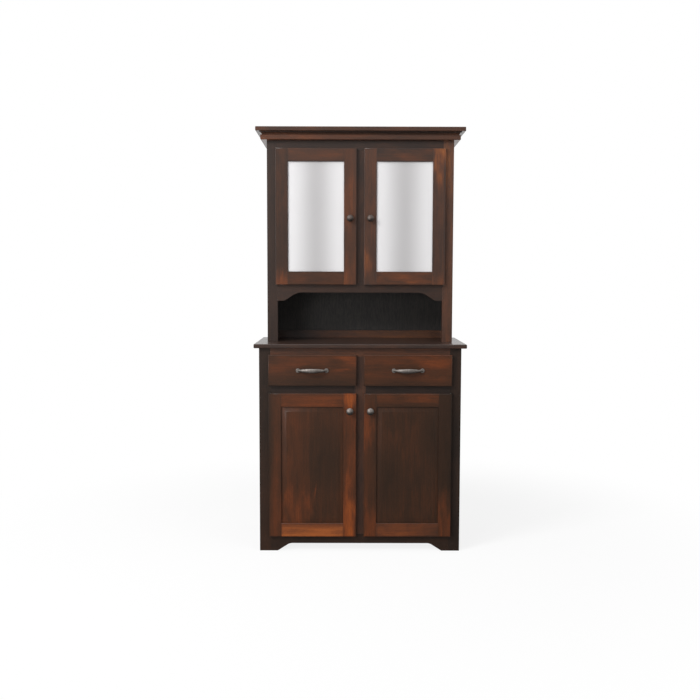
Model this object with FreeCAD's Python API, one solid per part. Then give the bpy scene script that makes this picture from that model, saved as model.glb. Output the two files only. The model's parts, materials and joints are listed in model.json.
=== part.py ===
import FreeCAD, Part

import math
import os

# A two-piece dresser: a base cabinet with two drawers over two panelled doors, and a glazed hutch
# that stands on its counter. Millimetres. X runs to the right, Y to the back and Z up, and the
# front faces -Y. The origin is on the floor, under the middle of the whole piece.

Vector = FreeCAD.Vector

# ---- stock -----------------------------------------------------------------------------------
board = 19.05  # frame, door, carcass and shelf boards
back_panel = 6.35
edge_radius = 2.5  # eased outer edges of doors and drawer fronts
screw_radius = 2.0
screw_head_radius = 4.0
screw_head_height = 2.2
screw_clearance = 0.25

# ---- base cabinet ----------------------------------------------------------------------------
base_width = 914.4
base_depth = 450.0  # front of the face frame to the back
base_height = 933.45  # floor to the underside of the counter
base_stile = 50.8
centre_stile = 50.8
base_top_rail = 38.1
drawer_opening = 123.8
mid_rail = 50.8
deck_top = 79.4  # floor to the top of the bottom rail and deck
arch_height = 34.9
toe_length = 31.0  # flat foot beside each stile
foot_run = 55.0  # slope between the toe and the arch
foot_radius = 40.0  # where a foot's slope meets the arch
base_shelf_height = 398.0
base_shelf_setback = 30.0

# ---- counter ---------------------------------------------------------------------------------
counter_thickness = 19.05
counter_overhang = 22.2
counter_radius = 4.0

# ---- hutch -----------------------------------------------------------------------------------
hutch_width = 860.0
hutch_setback = 141.0  # base face frame to hutch face frame
hutch_height = 981.0  # counter to the top of the crown
hutch_stile = 47.6
hutch_top_rail = 81.8
niche_height = 228.6  # counter to the middle of the lower rail
lower_rail = 44.45
valance_drop = 38.1
valance_flat = 33.0
valance_run = 56.0
valance_radius = 70.0  # where a bracket's slope meets the lower rail
valance_toe_radius = 30.0  # where its flat end meets the slope
back_rail_height = 36.6
hutch_shelf_spacing = 196.0
hutch_shelf_setback = 26.0

# ---- crown -----------------------------------------------------------------------------------
slab_thickness = 19.05
slab_overhang = 48.0
slab_radius = 2.5
bead_projection = 27.0
bead_height = 22.0
bead_radius = 3.0
cove_start = 21.0
cove_radius = 11.0
crown_lip = 4.0

# ---- doors -----------------------------------------------------------------------------------
overlay = 8.0  # doors and drawer fronts lap the frame by this much
door_gap = 1.6  # between a closed door and its frame
door_stile = 58.0
door_rail = 61.0
sticking_radius = 2.0  # eased inner edges of the door frames
groove_width = 6.35
groove_depth = 9.5
panel_slack = 0.15
panel_float = 0.8
panel_margin = 3.0
panel_bevel = 20.0
panel_raise = 3.6
glass_thickness = 3.0
glass_lip = 7.0
glass_slack = 0.5
rabbet = 9.5
bead_strip = 8.0
tenon_shoulder = 8.0

# ---- door hardware ---------------------------------------------------------------------------
knob_reach = 28.0
knob_radius = 16.0
knob_base_radius = 9.0
knob_base_height = 2.0
knob_neck_radius = 5.5
knob_neck_height = 9.5
knob_rim_low = 17.0
knob_rim_high = 21.0
knob_rim_bulge = 1.0
knob_screw_depth = 9.0
base_knob_drop = 79.0  # below the top of a base door
hutch_knob_height = 304.0  # above the bottom of a hutch door
pin_inset = 4.0
pin_radius = 2.0
pin_length = 8.0
pin_clearance = 0.05
tab_thickness = 1.6
tab_gap = 0.3
wing_thickness = 1.2
wing_length = 40.0
catch_width = 38.0
catch_depth = 15.0
catch_height = 12.0
catch_offset = 6.0
catch_gap = 0.3

# ---- drawers ---------------------------------------------------------------------------------
drawer_board = 12.7
drawer_length = 400.0
drawer_box_height = 95.25
drawer_lift = 12.7  # opening's lower edge to the drawer box
drawer_bottom = 6.35
drawer_bottom_lift = 9.5
drawer_groove = 6.35
slide_thickness = 12.7
slide_height = 45.0
slide_gauge = 1.2
slide_run = 0.4
slide_inset = 2.0
slide_length = 400.0
pull_spacing = 128.0
pull_reach = 30.0
pull_foot_radius = 10.0
pull_foot_height = 4.0
pull_neck = 4.6
pull_swell = 10.0
pull_half_thickness = 4.0
pull_taper = 1.5  # how quickly the bow narrows from its middle to its necks
pull_foot_round = 1.6
pull_sections = 9
pull_screw_depth = 6.0

# ---- shelf pins ------------------------------------------------------------------------------
shelf_pin_radius = 3.0
shelf_pin_sunk = 8.0
shelf_pin_reach = 8.0
shelf_pin_margin = 40.0
shelf_slack = 1.5

# ---- derived places --------------------------------------------------------------------------
front_reach = door_gap + board + max(pull_reach, knob_reach)
face_y = (front_reach - base_depth) / 2
back_y = face_y + base_depth
inner_back_y = back_y - back_panel
hutch_face_y = face_y + hutch_setback

base_half = base_width / 2
base_inner = base_half - board
centre_half = centre_stile / 2
partition_half = board / 2
base_opening_x = (-base_half + base_stile, -centre_half)

drawer_top_z = base_height - base_top_rail
drawer_bottom_z = drawer_top_z - drawer_opening
door_opening_z = (deck_top, drawer_bottom_z - mid_rail)
counter_z = base_height + counter_thickness

hutch_half = hutch_width / 2
hutch_inner = hutch_half - board
hutch_opening_x = (-hutch_half + hutch_stile, -centre_half)
lower_rail_z = counter_z + niche_height
hutch_floor_z = lower_rail_z + lower_rail
top_z = counter_z + hutch_height
slab_z = top_z - slab_thickness
hutch_opening_z = (hutch_floor_z, slab_z - hutch_top_rail)


def block(x0, x1, y0, y1, z0, z1):
    """A board between six limits, given in either order."""
    low = Vector(min(x0, x1), min(y0, y1), min(z0, z1))
    return Part.makeBox(abs(x1 - x0), abs(y1 - y0), abs(z1 - z0), low)


def mirrored(shape, x=0.0):
    """The same piece on the other side of the upright plane at x."""
    return shape.mirror(Vector(x, 0, 0), Vector(1, 0, 0))


def pair(shape, x=0.0):
    """A piece and its mirror image."""
    return [shape, mirrored(shape, x)]


def rod_y(x, y0, y1, z, radius):
    """A round rod along Y."""
    return Part.makeCylinder(radius, y1 - y0, Vector(x, y0, z), Vector(0, 1, 0))


def rod_z(x, y, z0, z1, radius):
    """A round rod along Z."""
    return Part.makeCylinder(radius, abs(z1 - z0), Vector(x, y, min(z0, z1)))


def eased(shape, radius, wanted):
    """The shape with the edges that wanted() picks rounded off."""
    chosen = [edge for edge in shape.Edges if wanted(edge)]
    return shape.makeFillet(radius, chosen)


def lies_on_y(edge, y):
    """Whether an edge lies in the plane at y."""
    return all(abs(vertex.Y - y) < 1e-4 for vertex in edge.Vertexes)


def eased_front(shape, front_y, radius):
    """The shape with its front outline rounded off."""
    return eased(shape, radius, lambda edge: lies_on_y(edge, front_y))


def eased_top(shape, radius):
    """A top board with its front and end edges rounded, and its back and corners left square."""
    box = shape.BoundBox

    def wanted(edge):
        upright = abs(edge.Vertexes[0].Z - edge.Vertexes[-1].Z) > 1e-4
        return not upright and not lies_on_y(edge, box.YMax)

    return eased(shape, radius, wanted)


def sawn_board(outline, y0, y1):
    """A board cut to an outline in X and Z."""
    face = Part.Face(Part.Wire(outline))
    face.translate(Vector(0, y0, 0))
    return face.extrude(Vector(0, y1 - y0, 0))


# ---- bracketed rails -------------------------------------------------------------------------


def bracket_edges(toe, rail, toe_radius, rail_radius):
    """The lower edge from a bracket's toe up its slope to the rail, as lines and tangent arcs.

    The slope runs straight between the two corners and is rounded into the rail, and into the
    toe too where toe_radius isn't 0.
    """
    along = (rail - toe).normalize()
    inward = Vector(math.copysign(1.0, rail.x - toe.x), 0, 0)
    turn = inward.getAngle(along)

    def rounded_corner(corner, before, after, radius):
        setback = radius * math.tan(turn / 2)
        start = corner - before * setback
        end = corner + after * setback
        bisector = (after - before).normalize()
        centre = corner + bisector * (radius / math.cos(turn / 2))
        middle = centre - bisector * radius
        return start, Part.Arc(start, middle, end).toShape(), end

    first = toe
    slope_start = toe
    edges = []
    if toe_radius > 0:
        first, toe_arc, slope_start = rounded_corner(toe, inward, along, toe_radius)
        edges = [toe_arc]
    slope_end, rail_arc, last = rounded_corner(rail, along, inward, rail_radius)
    edges += [Part.LineSegment(slope_start, slope_end).toShape(), rail_arc]
    return first, edges, last


def bracketed_rail(half_width, toe_z, arch_z, upper_z, flat, run, radii, y0, y1):
    """A rail whose two ends drop to brackets, with the radii at their toes and at the rail."""
    outer_low = Vector(-half_width, 0, toe_z)
    outer_high = Vector(-half_width, 0, upper_z)
    toe_corner = Vector(-half_width + flat, 0, toe_z)
    rail_corner = Vector(-half_width + flat + run, 0, arch_z)
    first, slope, last = bracket_edges(toe_corner, rail_corner, *radii)
    end = Part.LineSegment(outer_high, outer_low).toShape()
    toe = Part.LineSegment(outer_low, first).toShape()
    arch = Part.LineSegment(last, Vector(-last.x, 0, last.z)).toShape()
    top = Part.LineSegment(outer_high, Vector(half_width, 0, upper_z)).toShape()
    left = [end, toe] + slope
    right = [mirrored(edge) for edge in left]
    outline = Part.__sortEdges__(left + right + [arch, top])
    return sawn_board(outline, y0, y1)


# ---- door frames -----------------------------------------------------------------------------


def door_blank(x, z, door_back):
    """A door's frame in one, with its opening cut and its edges eased. It is parted later."""
    front = door_back - board
    blank = eased_front(block(x[0], x[1], front, door_back, z[0], z[1]), front, edge_radius)
    inner_x = (x[0] + door_stile, x[1] - door_stile)
    inner_z = (z[0] + door_rail, z[1] - door_rail)
    frame = blank.cut(block(*inner_x, front - 1, door_back + 1, *inner_z))

    def inner_front(edge):
        inside = all(
            inner_x[0] - 1e-3 < vertex.X < inner_x[1] + 1e-3
            and inner_z[0] - 1e-3 < vertex.Z < inner_z[1] + 1e-3
            for vertex in edge.Vertexes
        )
        return inside and lies_on_y(edge, front)

    return eased(frame, sticking_radius, inner_front), inner_x, inner_z


def parted_door(x, z, door_back):
    """A door's two stiles and two rails, cut from the blank."""
    blank, inner_x, inner_z = door_blank(x, z, door_back)
    front = door_back - board
    stiles = [
        blank.common(block(x[0], inner_x[0], front, door_back, *z)),
        blank.common(block(inner_x[1], x[1], front, door_back, *z)),
    ]
    rails = [
        blank.common(block(*inner_x, front, door_back, z[0], inner_z[0])),
        blank.common(block(*inner_x, front, door_back, inner_z[1], z[1])),
    ]
    return stiles, rails, inner_x, inner_z


def rectangle(x, y, z, inset):
    """A closed rectangle in X and Z, drawn in by an inset."""
    corners = [
        Vector(x[0] + inset, y, z[0] + inset),
        Vector(x[1] - inset, y, z[0] + inset),
        Vector(x[1] - inset, y, z[1] - inset),
        Vector(x[0] + inset, y, z[1] - inset),
    ]
    return Part.makePolygon(corners + corners[:1])


def raised_panel(inner_x, inner_z, groove_y):
    """A panel that floats in the grooves, with a field raised on a broad bevel."""
    reach = groove_depth - panel_float
    panel_front = groove_y[0] + panel_slack
    sheet = block(
        inner_x[0] - reach, inner_x[1] + reach,
        panel_front, groove_y[1] - panel_slack,
        inner_z[0] - reach, inner_z[1] + reach,
    )
    foot = rectangle(inner_x, panel_front, inner_z, panel_margin)
    crest = rectangle(inner_x, panel_front - panel_raise, inner_z, panel_margin + panel_bevel)
    return sheet.fuse(Part.makeLoft([foot, crest], True, True)).removeSplitter()


def panelled_door(x, z, door_back):
    """Stiles, rails and panel of a door with a wooden panel in grooves."""
    stiles, rails, inner_x, inner_z = parted_door(x, z, door_back)
    middle = door_back - board / 2
    groove_y = (middle - groove_width / 2, middle + groove_width / 2)
    left_groove = (inner_x[0] - groove_depth, inner_x[0])
    right_groove = (inner_x[1], inner_x[1] + groove_depth)
    stiles = [
        stiles[0].cut(block(*left_groove, *groove_y, *z)),
        stiles[1].cut(block(*right_groove, *groove_y, *z)),
    ]
    rail_grooves = [
        (inner_z[0] - groove_depth, inner_z[0]),
        (inner_z[1], inner_z[1] + groove_depth),
    ]
    tongue_spans = [(z[0], rail_grooves[0][0]), (rail_grooves[1][1], z[1])]
    grooved = []
    for rail, groove_z, tongue_z in zip(rails, rail_grooves, tongue_spans):
        rail = rail.cut(block(*inner_x, *groove_y, *groove_z))
        tongues = [block(*side, *groove_y, *tongue_z) for side in (left_groove, right_groove)]
        grooved.append(rail.fuse(tongues).removeSplitter())
    return stiles, grooved, [raised_panel(inner_x, inner_z, groove_y)]


def glazed_door(x, z, door_back):
    """Stiles, rails, glass and retainer strips of a door with a pane in a rabbet."""
    stiles, rails, inner_x, inner_z = parted_door(x, z, door_back)
    front = door_back - board
    shoulder = front + glass_lip
    wide_x = (inner_x[0] - rabbet, inner_x[1] + rabbet)
    wide_z = (inner_z[0] - rabbet, inner_z[1] + rabbet)
    recess = block(*wide_x, shoulder, door_back + 1, *wide_z)
    middle = door_back - board / 2
    tenon_y = (middle - groove_width / 2, middle + groove_width / 2)
    spans = [
        (z[0] + tenon_shoulder, wide_z[0]),
        (wide_z[1], z[1] - tenon_shoulder),
    ]
    tenoned = []
    for rail, span in zip(rails, spans):
        tenons = [block(wide_x[0], inner_x[0], *tenon_y, *span)]
        tenons += [block(inner_x[1], wide_x[1], *tenon_y, *span)]
        stiles = [stile.cut(tenons) for stile in stiles]
        tenoned.append(rail.cut(recess).fuse(tenons).removeSplitter())
    stiles = [stile.cut(recess) for stile in stiles]
    glass_back = shoulder + glass_thickness
    glass = block(
        wide_x[0] + glass_slack, wide_x[1] - glass_slack,
        shoulder, glass_back,
        wide_z[0] + glass_slack, wide_z[1] - glass_slack,
    )
    strip_y = (glass_back, glass_back + bead_strip)
    strips = [
        block(*wide_x, *strip_y, wide_z[0], inner_z[0]),
        block(*wide_x, *strip_y, inner_z[1], wide_z[1]),
        block(wide_x[0], inner_x[0], *strip_y, *inner_z),
        block(inner_x[1], wide_x[1], *strip_y, *inner_z),
    ]
    return stiles, tenoned, [glass], strips


# ---- knobs, hinges and catches ---------------------------------------------------------------


def bowed(start, end, rise):
    """An arc between two points in the XZ plane that rises to the left of its chord."""
    chord = end - start
    left = Vector(-chord.z, 0, chord.x).normalize()
    return Part.Arc(start, (start + end) / 2 + left * rise, end).toShape()


def knob_profile():
    """Half of a knob's section: radius along X, height above the door along Z."""
    rim_radius = knob_radius - knob_rim_bulge
    base = Vector(knob_base_radius, 0, 0)
    step = Vector(knob_base_radius, 0, knob_base_height)
    neck = Vector(knob_neck_radius, 0, knob_neck_height)
    rim_low = Vector(rim_radius, 0, knob_rim_low)
    rim_high = Vector(rim_radius, 0, knob_rim_high)
    crest = Vector(0, 0, knob_reach)
    flare = (knob_base_radius - knob_neck_radius) / 4
    hollow = (knob_rim_low - knob_neck_height) / 4

    dome_rise = knob_reach - knob_rim_high
    sphere = (rim_radius ** 2 + dome_rise ** 2) / (2 * dome_rise)
    half_turn = math.asin(rim_radius / sphere) / 2
    shoulder = Vector(
        sphere * math.sin(half_turn), 0, knob_reach - sphere * (1 - math.cos(half_turn))
    )
    edges = [
        Part.LineSegment(Vector(0, 0, 0), base).toShape(),
        Part.LineSegment(base, step).toShape(),
        bowed(step, neck, flare),
        bowed(neck, rim_low, hollow),
        bowed(rim_low, rim_high, -knob_rim_bulge),
        Part.Arc(rim_high, shoulder, crest).toShape(),
        Part.LineSegment(crest, Vector(0, 0, 0)).toShape(),
    ]
    return Part.Wire(edges)


def screw(x, z, head_y, tip_y):
    """A machine screw along Y, its head behind head_y and its tip in front at tip_y."""
    shank = rod_y(x, tip_y, head_y, z, screw_radius)
    head = rod_y(x, head_y, head_y + screw_head_height, z, screw_head_radius)
    return shank.fuse(head).removeSplitter()


def screw_hole(x, z, y0, y1):
    """The cut for a screw's shank through boards between y0 and y1."""
    return rod_y(x, y0 - 1, y1 + 1, z, screw_radius + screw_clearance)


def knob(x, z, door_back):
    """A round knob on a door's face, and the screw that holds it from behind."""
    front = door_back - board
    body = Part.Face(knob_profile()).revolve(Vector(0, 0, 0), Vector(0, 0, 1), 360)
    body.rotate(Vector(0, 0, 0), Vector(1, 0, 0), 90)
    body.translate(Vector(x, front, z))
    fixing = screw(x, z, door_back, front - knob_screw_depth)
    return [body.cut(fixing), fixing]


def pivot(door_x, face):
    """Where a left-hand door's pins stand: the middle of its edge."""
    return door_x[0] + pin_inset, face - door_gap - board / 2


def hinge_wing(door_x, edge_z, way, face):
    """The part of a hinge bracket that is let into the face frame."""
    tab_top = edge_z + way * (tab_gap + tab_thickness)
    low = edge_z - way * wing_length
    return block(door_x[0], door_x[0] + overlay, face, face + wing_thickness, low, tab_top)


def hinge_bracket(door_x, edge_z, way, face):
    """A bracket above (way = 1) or below (way = -1) a door, with the pin that it turns on."""
    pin_x, pin_y = pivot(door_x, face)
    tab_low = edge_z + way * tab_gap
    tab_high = tab_low + way * tab_thickness
    half = pin_inset
    tab = block(pin_x - half, pin_x + half, pin_y, face + wing_thickness, tab_low, tab_high)
    nose = rod_z(pin_x, pin_y, tab_low, tab_high, half)
    pin = rod_z(pin_x, pin_y, tab_low, edge_z - way * pin_length, pin_radius)
    wing = hinge_wing(door_x, edge_z, way, face)
    return wing.fuse([tab, nose, pin]).removeSplitter()


def pin_holes(door_x, door_z, face):
    """The cuts for both pins in a left-hand door's hinge stile."""
    pin_x, pin_y = pivot(door_x, face)
    depth = pin_length + tab_gap
    radius = pin_radius + pin_clearance
    low = rod_z(pin_x, pin_y, door_z[0] - 1, door_z[0] + depth, radius)
    high = rod_z(pin_x, pin_y, door_z[1] - depth, door_z[1] + 1, radius)
    return [low, high]


def catch(opening_x, rail_z, face):
    """A magnetic catch under the rail over a door, by the centre stile."""
    right = opening_x[1] - catch_offset
    front = face - door_gap + catch_gap
    return block(right - catch_width, right, front, front + catch_depth, rail_z - catch_height, rail_z)


def lapped(span):
    """An opening's span with the overlay added at both ends."""
    return span[0] - overlay, span[1] + overlay


def fit_door(stiles, door_x, door_z, face, knob_z):
    """Bore a left-hand door's stiles for its pins and knob, and make the knob."""
    knob_x = door_x[1] - door_stile / 2
    door_back = face - door_gap
    hole = screw_hole(knob_x, knob_z, door_back - board, door_back)
    bored = [stiles[0].cut(pin_holes(door_x, door_z, face)), stiles[1].cut(hole)]
    return bored, knob(knob_x, knob_z, door_back)


# ---- drawers ---------------------------------------------------------------------------------


def pull(x, z, seat_y, screw_head_y):
    """A bow pull on two round feet, and its two screws."""
    half = pull_spacing / 2
    start = pull_foot_height / 2
    rise = pull_reach - pull_half_thickness - start
    bow = (half ** 2 + rise ** 2) / (2 * rise)
    sweep = math.asin(half / bow)
    sections = []
    for index in range(pull_sections):
        share = 2 * index / (pull_sections - 1) - 1
        angle = sweep * share
        outward = Vector(math.sin(angle), -math.cos(angle), 0)
        centre = Vector(x, seat_y - start - rise + bow, z) + outward * bow
        height = pull_neck + (pull_swell - pull_neck) * (1 - share ** 2) ** pull_taper
        top = centre + Vector(0, 0, height)
        front = centre + outward * pull_half_thickness
        sections.append(Part.Wire(Part.Ellipse(top, front, centre).toShape()))
    bar = Part.makeLoft(sections, True, False)
    feet = []
    for side in (-1, 1):
        foot = rod_y(x + side * half, seat_y - pull_foot_height, seat_y, z, pull_foot_radius)
        feet.append(eased_front(foot, seat_y - pull_foot_height, pull_foot_round))
    wall = block(x - 2 * half, x + 2 * half, seat_y, seat_y + 2 * half, z - half, z + half)
    body = bar.fuse(feet).cut(wall)
    tip = seat_y - pull_screw_depth
    screws = [screw(x + side * half, z, screw_head_y, tip) for side in (-1, 1)]
    return [body.cut(screws)] + screws


def channel(x0, x1, y0, y1, z, half_height, open_at):
    """A slide member: a channel along Y that opens towards open_at."""
    outer = block(x0, x1, y0, y1, z - half_height, z + half_height)
    web = slide_gauge if open_at > 0 else -slide_gauge
    start = x0 + web if open_at > 0 else x1 + web
    end = x1 + 1 if open_at > 0 else x0 - 1
    inner = half_height - slide_gauge
    return outer.cut(block(start, end, y0 - 1, y1 + 1, z - inner, z + inner))


def slide_members(x, z):
    """The cabinet, intermediate and drawer members of the slide on a left drawer's left side."""
    step = slide_gauge + slide_run
    y = (face_y + slide_inset, face_y + slide_inset + slide_length)
    reach = x + slide_thickness - step
    half = slide_height / 2
    fixed = channel(x, reach, *y, z, half, 1)
    middle = channel(x + step, reach, *y, z, half - step, 1)
    moving = channel(x + 2 * step, x + slide_thickness, *y, z, half - 2 * step, -1)
    return fixed, middle, moving


def drawer(parts):
    """The left drawer and its slides, and their mirror images on the right."""
    x = base_opening_x
    middle_x = (x[0] + x[1]) / 2
    back = face_y - door_gap
    front_z = lapped((drawer_bottom_z, drawer_top_z))
    middle_z = (front_z[0] + front_z[1]) / 2
    box_x = (x[0] + slide_thickness, x[1] - slide_thickness)
    box_y = (back, back + drawer_length)
    box_z = (drawer_bottom_z + drawer_lift, drawer_bottom_z + drawer_lift + drawer_box_height)
    inner_x = (box_x[0] + drawer_board, box_x[1] - drawer_board)
    inner_y = (box_y[0] + drawer_board, box_y[1] - drawer_board)

    floor_z = box_z[0] + drawer_bottom_lift
    groove = block(
        inner_x[0] - drawer_groove, inner_x[1] + drawer_groove,
        inner_y[0] - drawer_groove, inner_y[1] + drawer_groove,
        floor_z, floor_z + drawer_bottom,
    )
    reach = drawer_groove - panel_float
    floor = block(
        inner_x[0] - reach, inner_x[1] + reach,
        inner_y[0] - reach, inner_y[1] + reach,
        floor_z, floor_z + drawer_bottom,
    )
    side = block(box_x[0], inner_x[0], *box_y, *box_z).cut(groove)
    near_end = block(*inner_x, box_y[0], inner_y[0], *box_z).cut(groove)
    far_end = block(*inner_x, inner_y[1], box_y[1], *box_z).cut(groove)

    front = block(*lapped(x), back - board, back, *front_z)
    front = eased_front(front, back - board, edge_radius)
    for side_x in (-pull_spacing / 2, pull_spacing / 2):
        hole = screw_hole(middle_x + side_x, middle_z, back - board, inner_y[0])
        front = front.cut(hole)
        near_end = near_end.cut(hole)

    slide_z = (box_z[0] + box_z[1]) / 2
    members = [pair(member, middle_x) for member in slide_members(x[0], slide_z)]
    spacer_y = (face_y + board, face_y + slide_inset + slide_length)
    spacer_z = (slide_z - slide_height / 2, slide_z + slide_height / 2)
    spacers = [
        block(-base_inner, x[0], *spacer_y, *spacer_z),
        block(x[1], -partition_half, *spacer_y, *spacer_z),
    ]

    left = {
        "drawer_{}_front": [front],
        "drawer_{}_sides": pair(side, middle_x),
        "drawer_{}_ends": [near_end, far_end],
        "drawer_{}_bottom": [floor],
        "drawer_{}_pull": pull(middle_x, middle_z, back - board, inner_y[0]),
        "drawer_{}_slide_members": members[2],
        "slide_{}_intermediates": members[1],
    }
    add_both_sides(parts, left)
    parts["slide_spacers"] = both(spacers)
    parts["slide_cabinet_members"] = both(members[0])


# ---- sub-assemblies --------------------------------------------------------------------------


def both(solids):
    """Left-hand solids and their mirror images."""
    return solids + [mirrored(solid) for solid in solids]


def add_both_sides(parts, left):
    """Add left-hand nodes, and their mirror images under right-hand names."""
    for name, solids in left.items():
        parts[name.format("left")] = solids
        parts[name.format("right")] = [mirrored(solid) for solid in solids]


def shelf_pin_set(wall_x, way, shelf_z, shelf_y):
    """Two pins in an upright wall, under a shelf. way points from the wall to the shelf."""
    start = wall_x - way * shelf_pin_sunk
    z = shelf_z - shelf_pin_radius
    pins = []
    for y in (shelf_y[0] + shelf_pin_margin, shelf_y[1] - shelf_pin_margin):
        length = shelf_pin_sunk + shelf_pin_reach
        pins.append(Part.makeCylinder(shelf_pin_radius, length, Vector(start, y, z), Vector(way, 0, 0)))
    return pins


def base_cabinet(parts):
    """The base: carcass, face frame, shelves and counter. Returns its shelf pins."""
    frame_back = face_y + board
    side = block(-base_half, -base_inner, frame_back, back_y, 0, base_height)
    partition = block(-partition_half, partition_half, frame_back, inner_back_y, deck_top, base_height)

    shelf_y = (frame_back + base_shelf_setback, inner_back_y)
    shelf_x = (-base_inner + shelf_slack, -partition_half - shelf_slack)
    shelf = block(*shelf_x, *shelf_y, base_shelf_height, base_shelf_height + board)
    side_pins = shelf_pin_set(-base_inner, 1, base_shelf_height, shelf_y)
    partition_pins = shelf_pin_set(-partition_half, -1, base_shelf_height, shelf_y)
    pins = both(side_pins + partition_pins)

    stile = block(-base_half, base_opening_x[0], face_y, frame_back, 0, base_height)
    door_x = lapped(base_opening_x)
    door_z = lapped(door_opening_z)
    for way, edge_z in ((-1, door_z[0]), (1, door_z[1])):
        stile = stile.cut(hinge_wing(door_x, edge_z, way, face_y))

    parts["base_sides"] = both([side.cut(side_pins)])
    parts["base_partition"] = [partition.cut(both(partition_pins))]
    parts["base_deck"] = [
        block(-base_inner, base_inner, frame_back, inner_back_y, deck_top - board, deck_top)
    ]
    parts["base_back"] = [
        block(-base_inner, base_inner, inner_back_y, back_y, deck_top - board, base_height)
    ]
    parts["base_shelves"] = both([shelf])
    parts["base_outer_stiles"] = both([stile])
    parts["base_centre_stile"] = [
        block(-centre_half, centre_half, face_y, frame_back, deck_top, drawer_top_z)
    ]
    parts["base_top_rail"] = [
        block(base_opening_x[0], -base_opening_x[0], face_y, frame_back, drawer_top_z, base_height)
    ]
    parts["base_mid_rails"] = both(
        [block(*base_opening_x, face_y, frame_back, door_opening_z[1], drawer_bottom_z)]
    )
    parts["base_bottom_rail"] = [
        bracketed_rail(
            -base_opening_x[0], 0, arch_height, deck_top,
            toe_length, foot_run, (0, foot_radius), face_y, frame_back,
        )
    ]
    counter_half = base_half + counter_overhang
    counter = block(
        -counter_half, counter_half, face_y - counter_overhang, back_y, base_height, counter_z
    )
    parts["counter_top"] = [eased_top(counter, counter_radius)]
    return pins


def base_doors(parts):
    """The two panelled doors of the base."""
    x = lapped(base_opening_x)
    z = lapped(door_opening_z)
    stiles, rails, panel = panelled_door(x, z, face_y - door_gap)
    stiles, fitted_knob = fit_door(stiles, x, z, face_y, z[1] - base_knob_drop)
    left = {
        "base_door_{}_stiles": stiles,
        "base_door_{}_rails": rails,
        "base_door_{}_panel": panel,
        "base_door_{}_knob": fitted_knob,
    }
    add_both_sides(parts, left)


def hutch_cabinet(parts):
    """The hutch: carcass, face frame and shelves. Returns its shelf pins."""
    frame_back = hutch_face_y + board
    side = block(-hutch_half, -hutch_inner, frame_back, back_y, counter_z, slab_z)
    shelf_y = (frame_back + hutch_shelf_setback, inner_back_y)
    shelf_half = hutch_inner - shelf_slack
    shelves = []
    pins = []
    for step in (1, 2):
        shelf_z = hutch_floor_z + step * hutch_shelf_spacing
        shelves.append(block(-shelf_half, shelf_half, *shelf_y, shelf_z, shelf_z + board))
        pins += shelf_pin_set(-hutch_inner, 1, shelf_z, shelf_y)

    stile = block(-hutch_half, hutch_opening_x[0], hutch_face_y, frame_back, counter_z, slab_z)
    door_x = lapped(hutch_opening_x)
    door_z = lapped(hutch_opening_z)
    for way, edge_z in ((-1, door_z[0]), (1, door_z[1])):
        stile = stile.cut(hinge_wing(door_x, edge_z, way, hutch_face_y))

    inside = (-hutch_inner, hutch_inner, frame_back, inner_back_y)
    parts["hutch_sides"] = both([side.cut(pins)])
    parts["hutch_top"] = [block(*inside, slab_z - board, slab_z)]
    parts["hutch_bottom"] = [block(*inside, hutch_floor_z - board, hutch_floor_z)]
    parts["hutch_back"] = [
        block(-hutch_inner, hutch_inner, inner_back_y, back_y, counter_z, slab_z)
    ]
    parts["hutch_back_rail"] = [
        block(
            -hutch_inner, hutch_inner, inner_back_y - board, inner_back_y,
            counter_z, counter_z + back_rail_height,
        )
    ]
    parts["hutch_shelves"] = shelves
    parts["hutch_outer_stiles"] = both([stile])
    parts["hutch_centre_stile"] = [
        block(-centre_half, centre_half, hutch_face_y, frame_back, *hutch_opening_z)
    ]
    parts["hutch_top_rail"] = [
        block(
            hutch_opening_x[0], -hutch_opening_x[0], hutch_face_y, frame_back,
            hutch_opening_z[1], slab_z,
        )
    ]
    parts["hutch_lower_rail"] = [
        bracketed_rail(
            -hutch_opening_x[0], lower_rail_z - valance_drop, lower_rail_z, hutch_floor_z,
            valance_flat, valance_run, (valance_toe_radius, valance_radius),
            hutch_face_y, frame_back,
        )
    ]
    return both(pins)


def hutch_doors(parts):
    """The two glazed doors of the hutch."""
    x = lapped(hutch_opening_x)
    z = lapped(hutch_opening_z)
    stiles, rails, glass, strips = glazed_door(x, z, hutch_face_y - door_gap)
    stiles, fitted_knob = fit_door(stiles, x, z, hutch_face_y, z[0] + hutch_knob_height)
    left = {
        "hutch_door_{}_stiles": stiles,
        "hutch_door_{}_rails": rails,
        "hutch_door_{}_glass": glass,
        "hutch_door_{}_retainers": strips,
        "hutch_door_{}_knob": fitted_knob,
    }
    add_both_sides(parts, left)


def door_fittings(parts):
    """Hinge brackets and magnetic catches of all four doors."""
    brackets = []
    catches = []
    openings = [
        (base_opening_x, door_opening_z, face_y),
        (hutch_opening_x, hutch_opening_z, hutch_face_y),
    ]
    for opening_x, opening_z, face in openings:
        door_x = lapped(opening_x)
        door_z = lapped(opening_z)
        brackets.append(hinge_bracket(door_x, door_z[0], -1, face))
        brackets.append(hinge_bracket(door_x, door_z[1], 1, face))
        catches.append(catch(opening_x, opening_z[1], face))
    parts["hinge_brackets"] = both(brackets)
    parts["magnetic_catches"] = both(catches)


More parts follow.
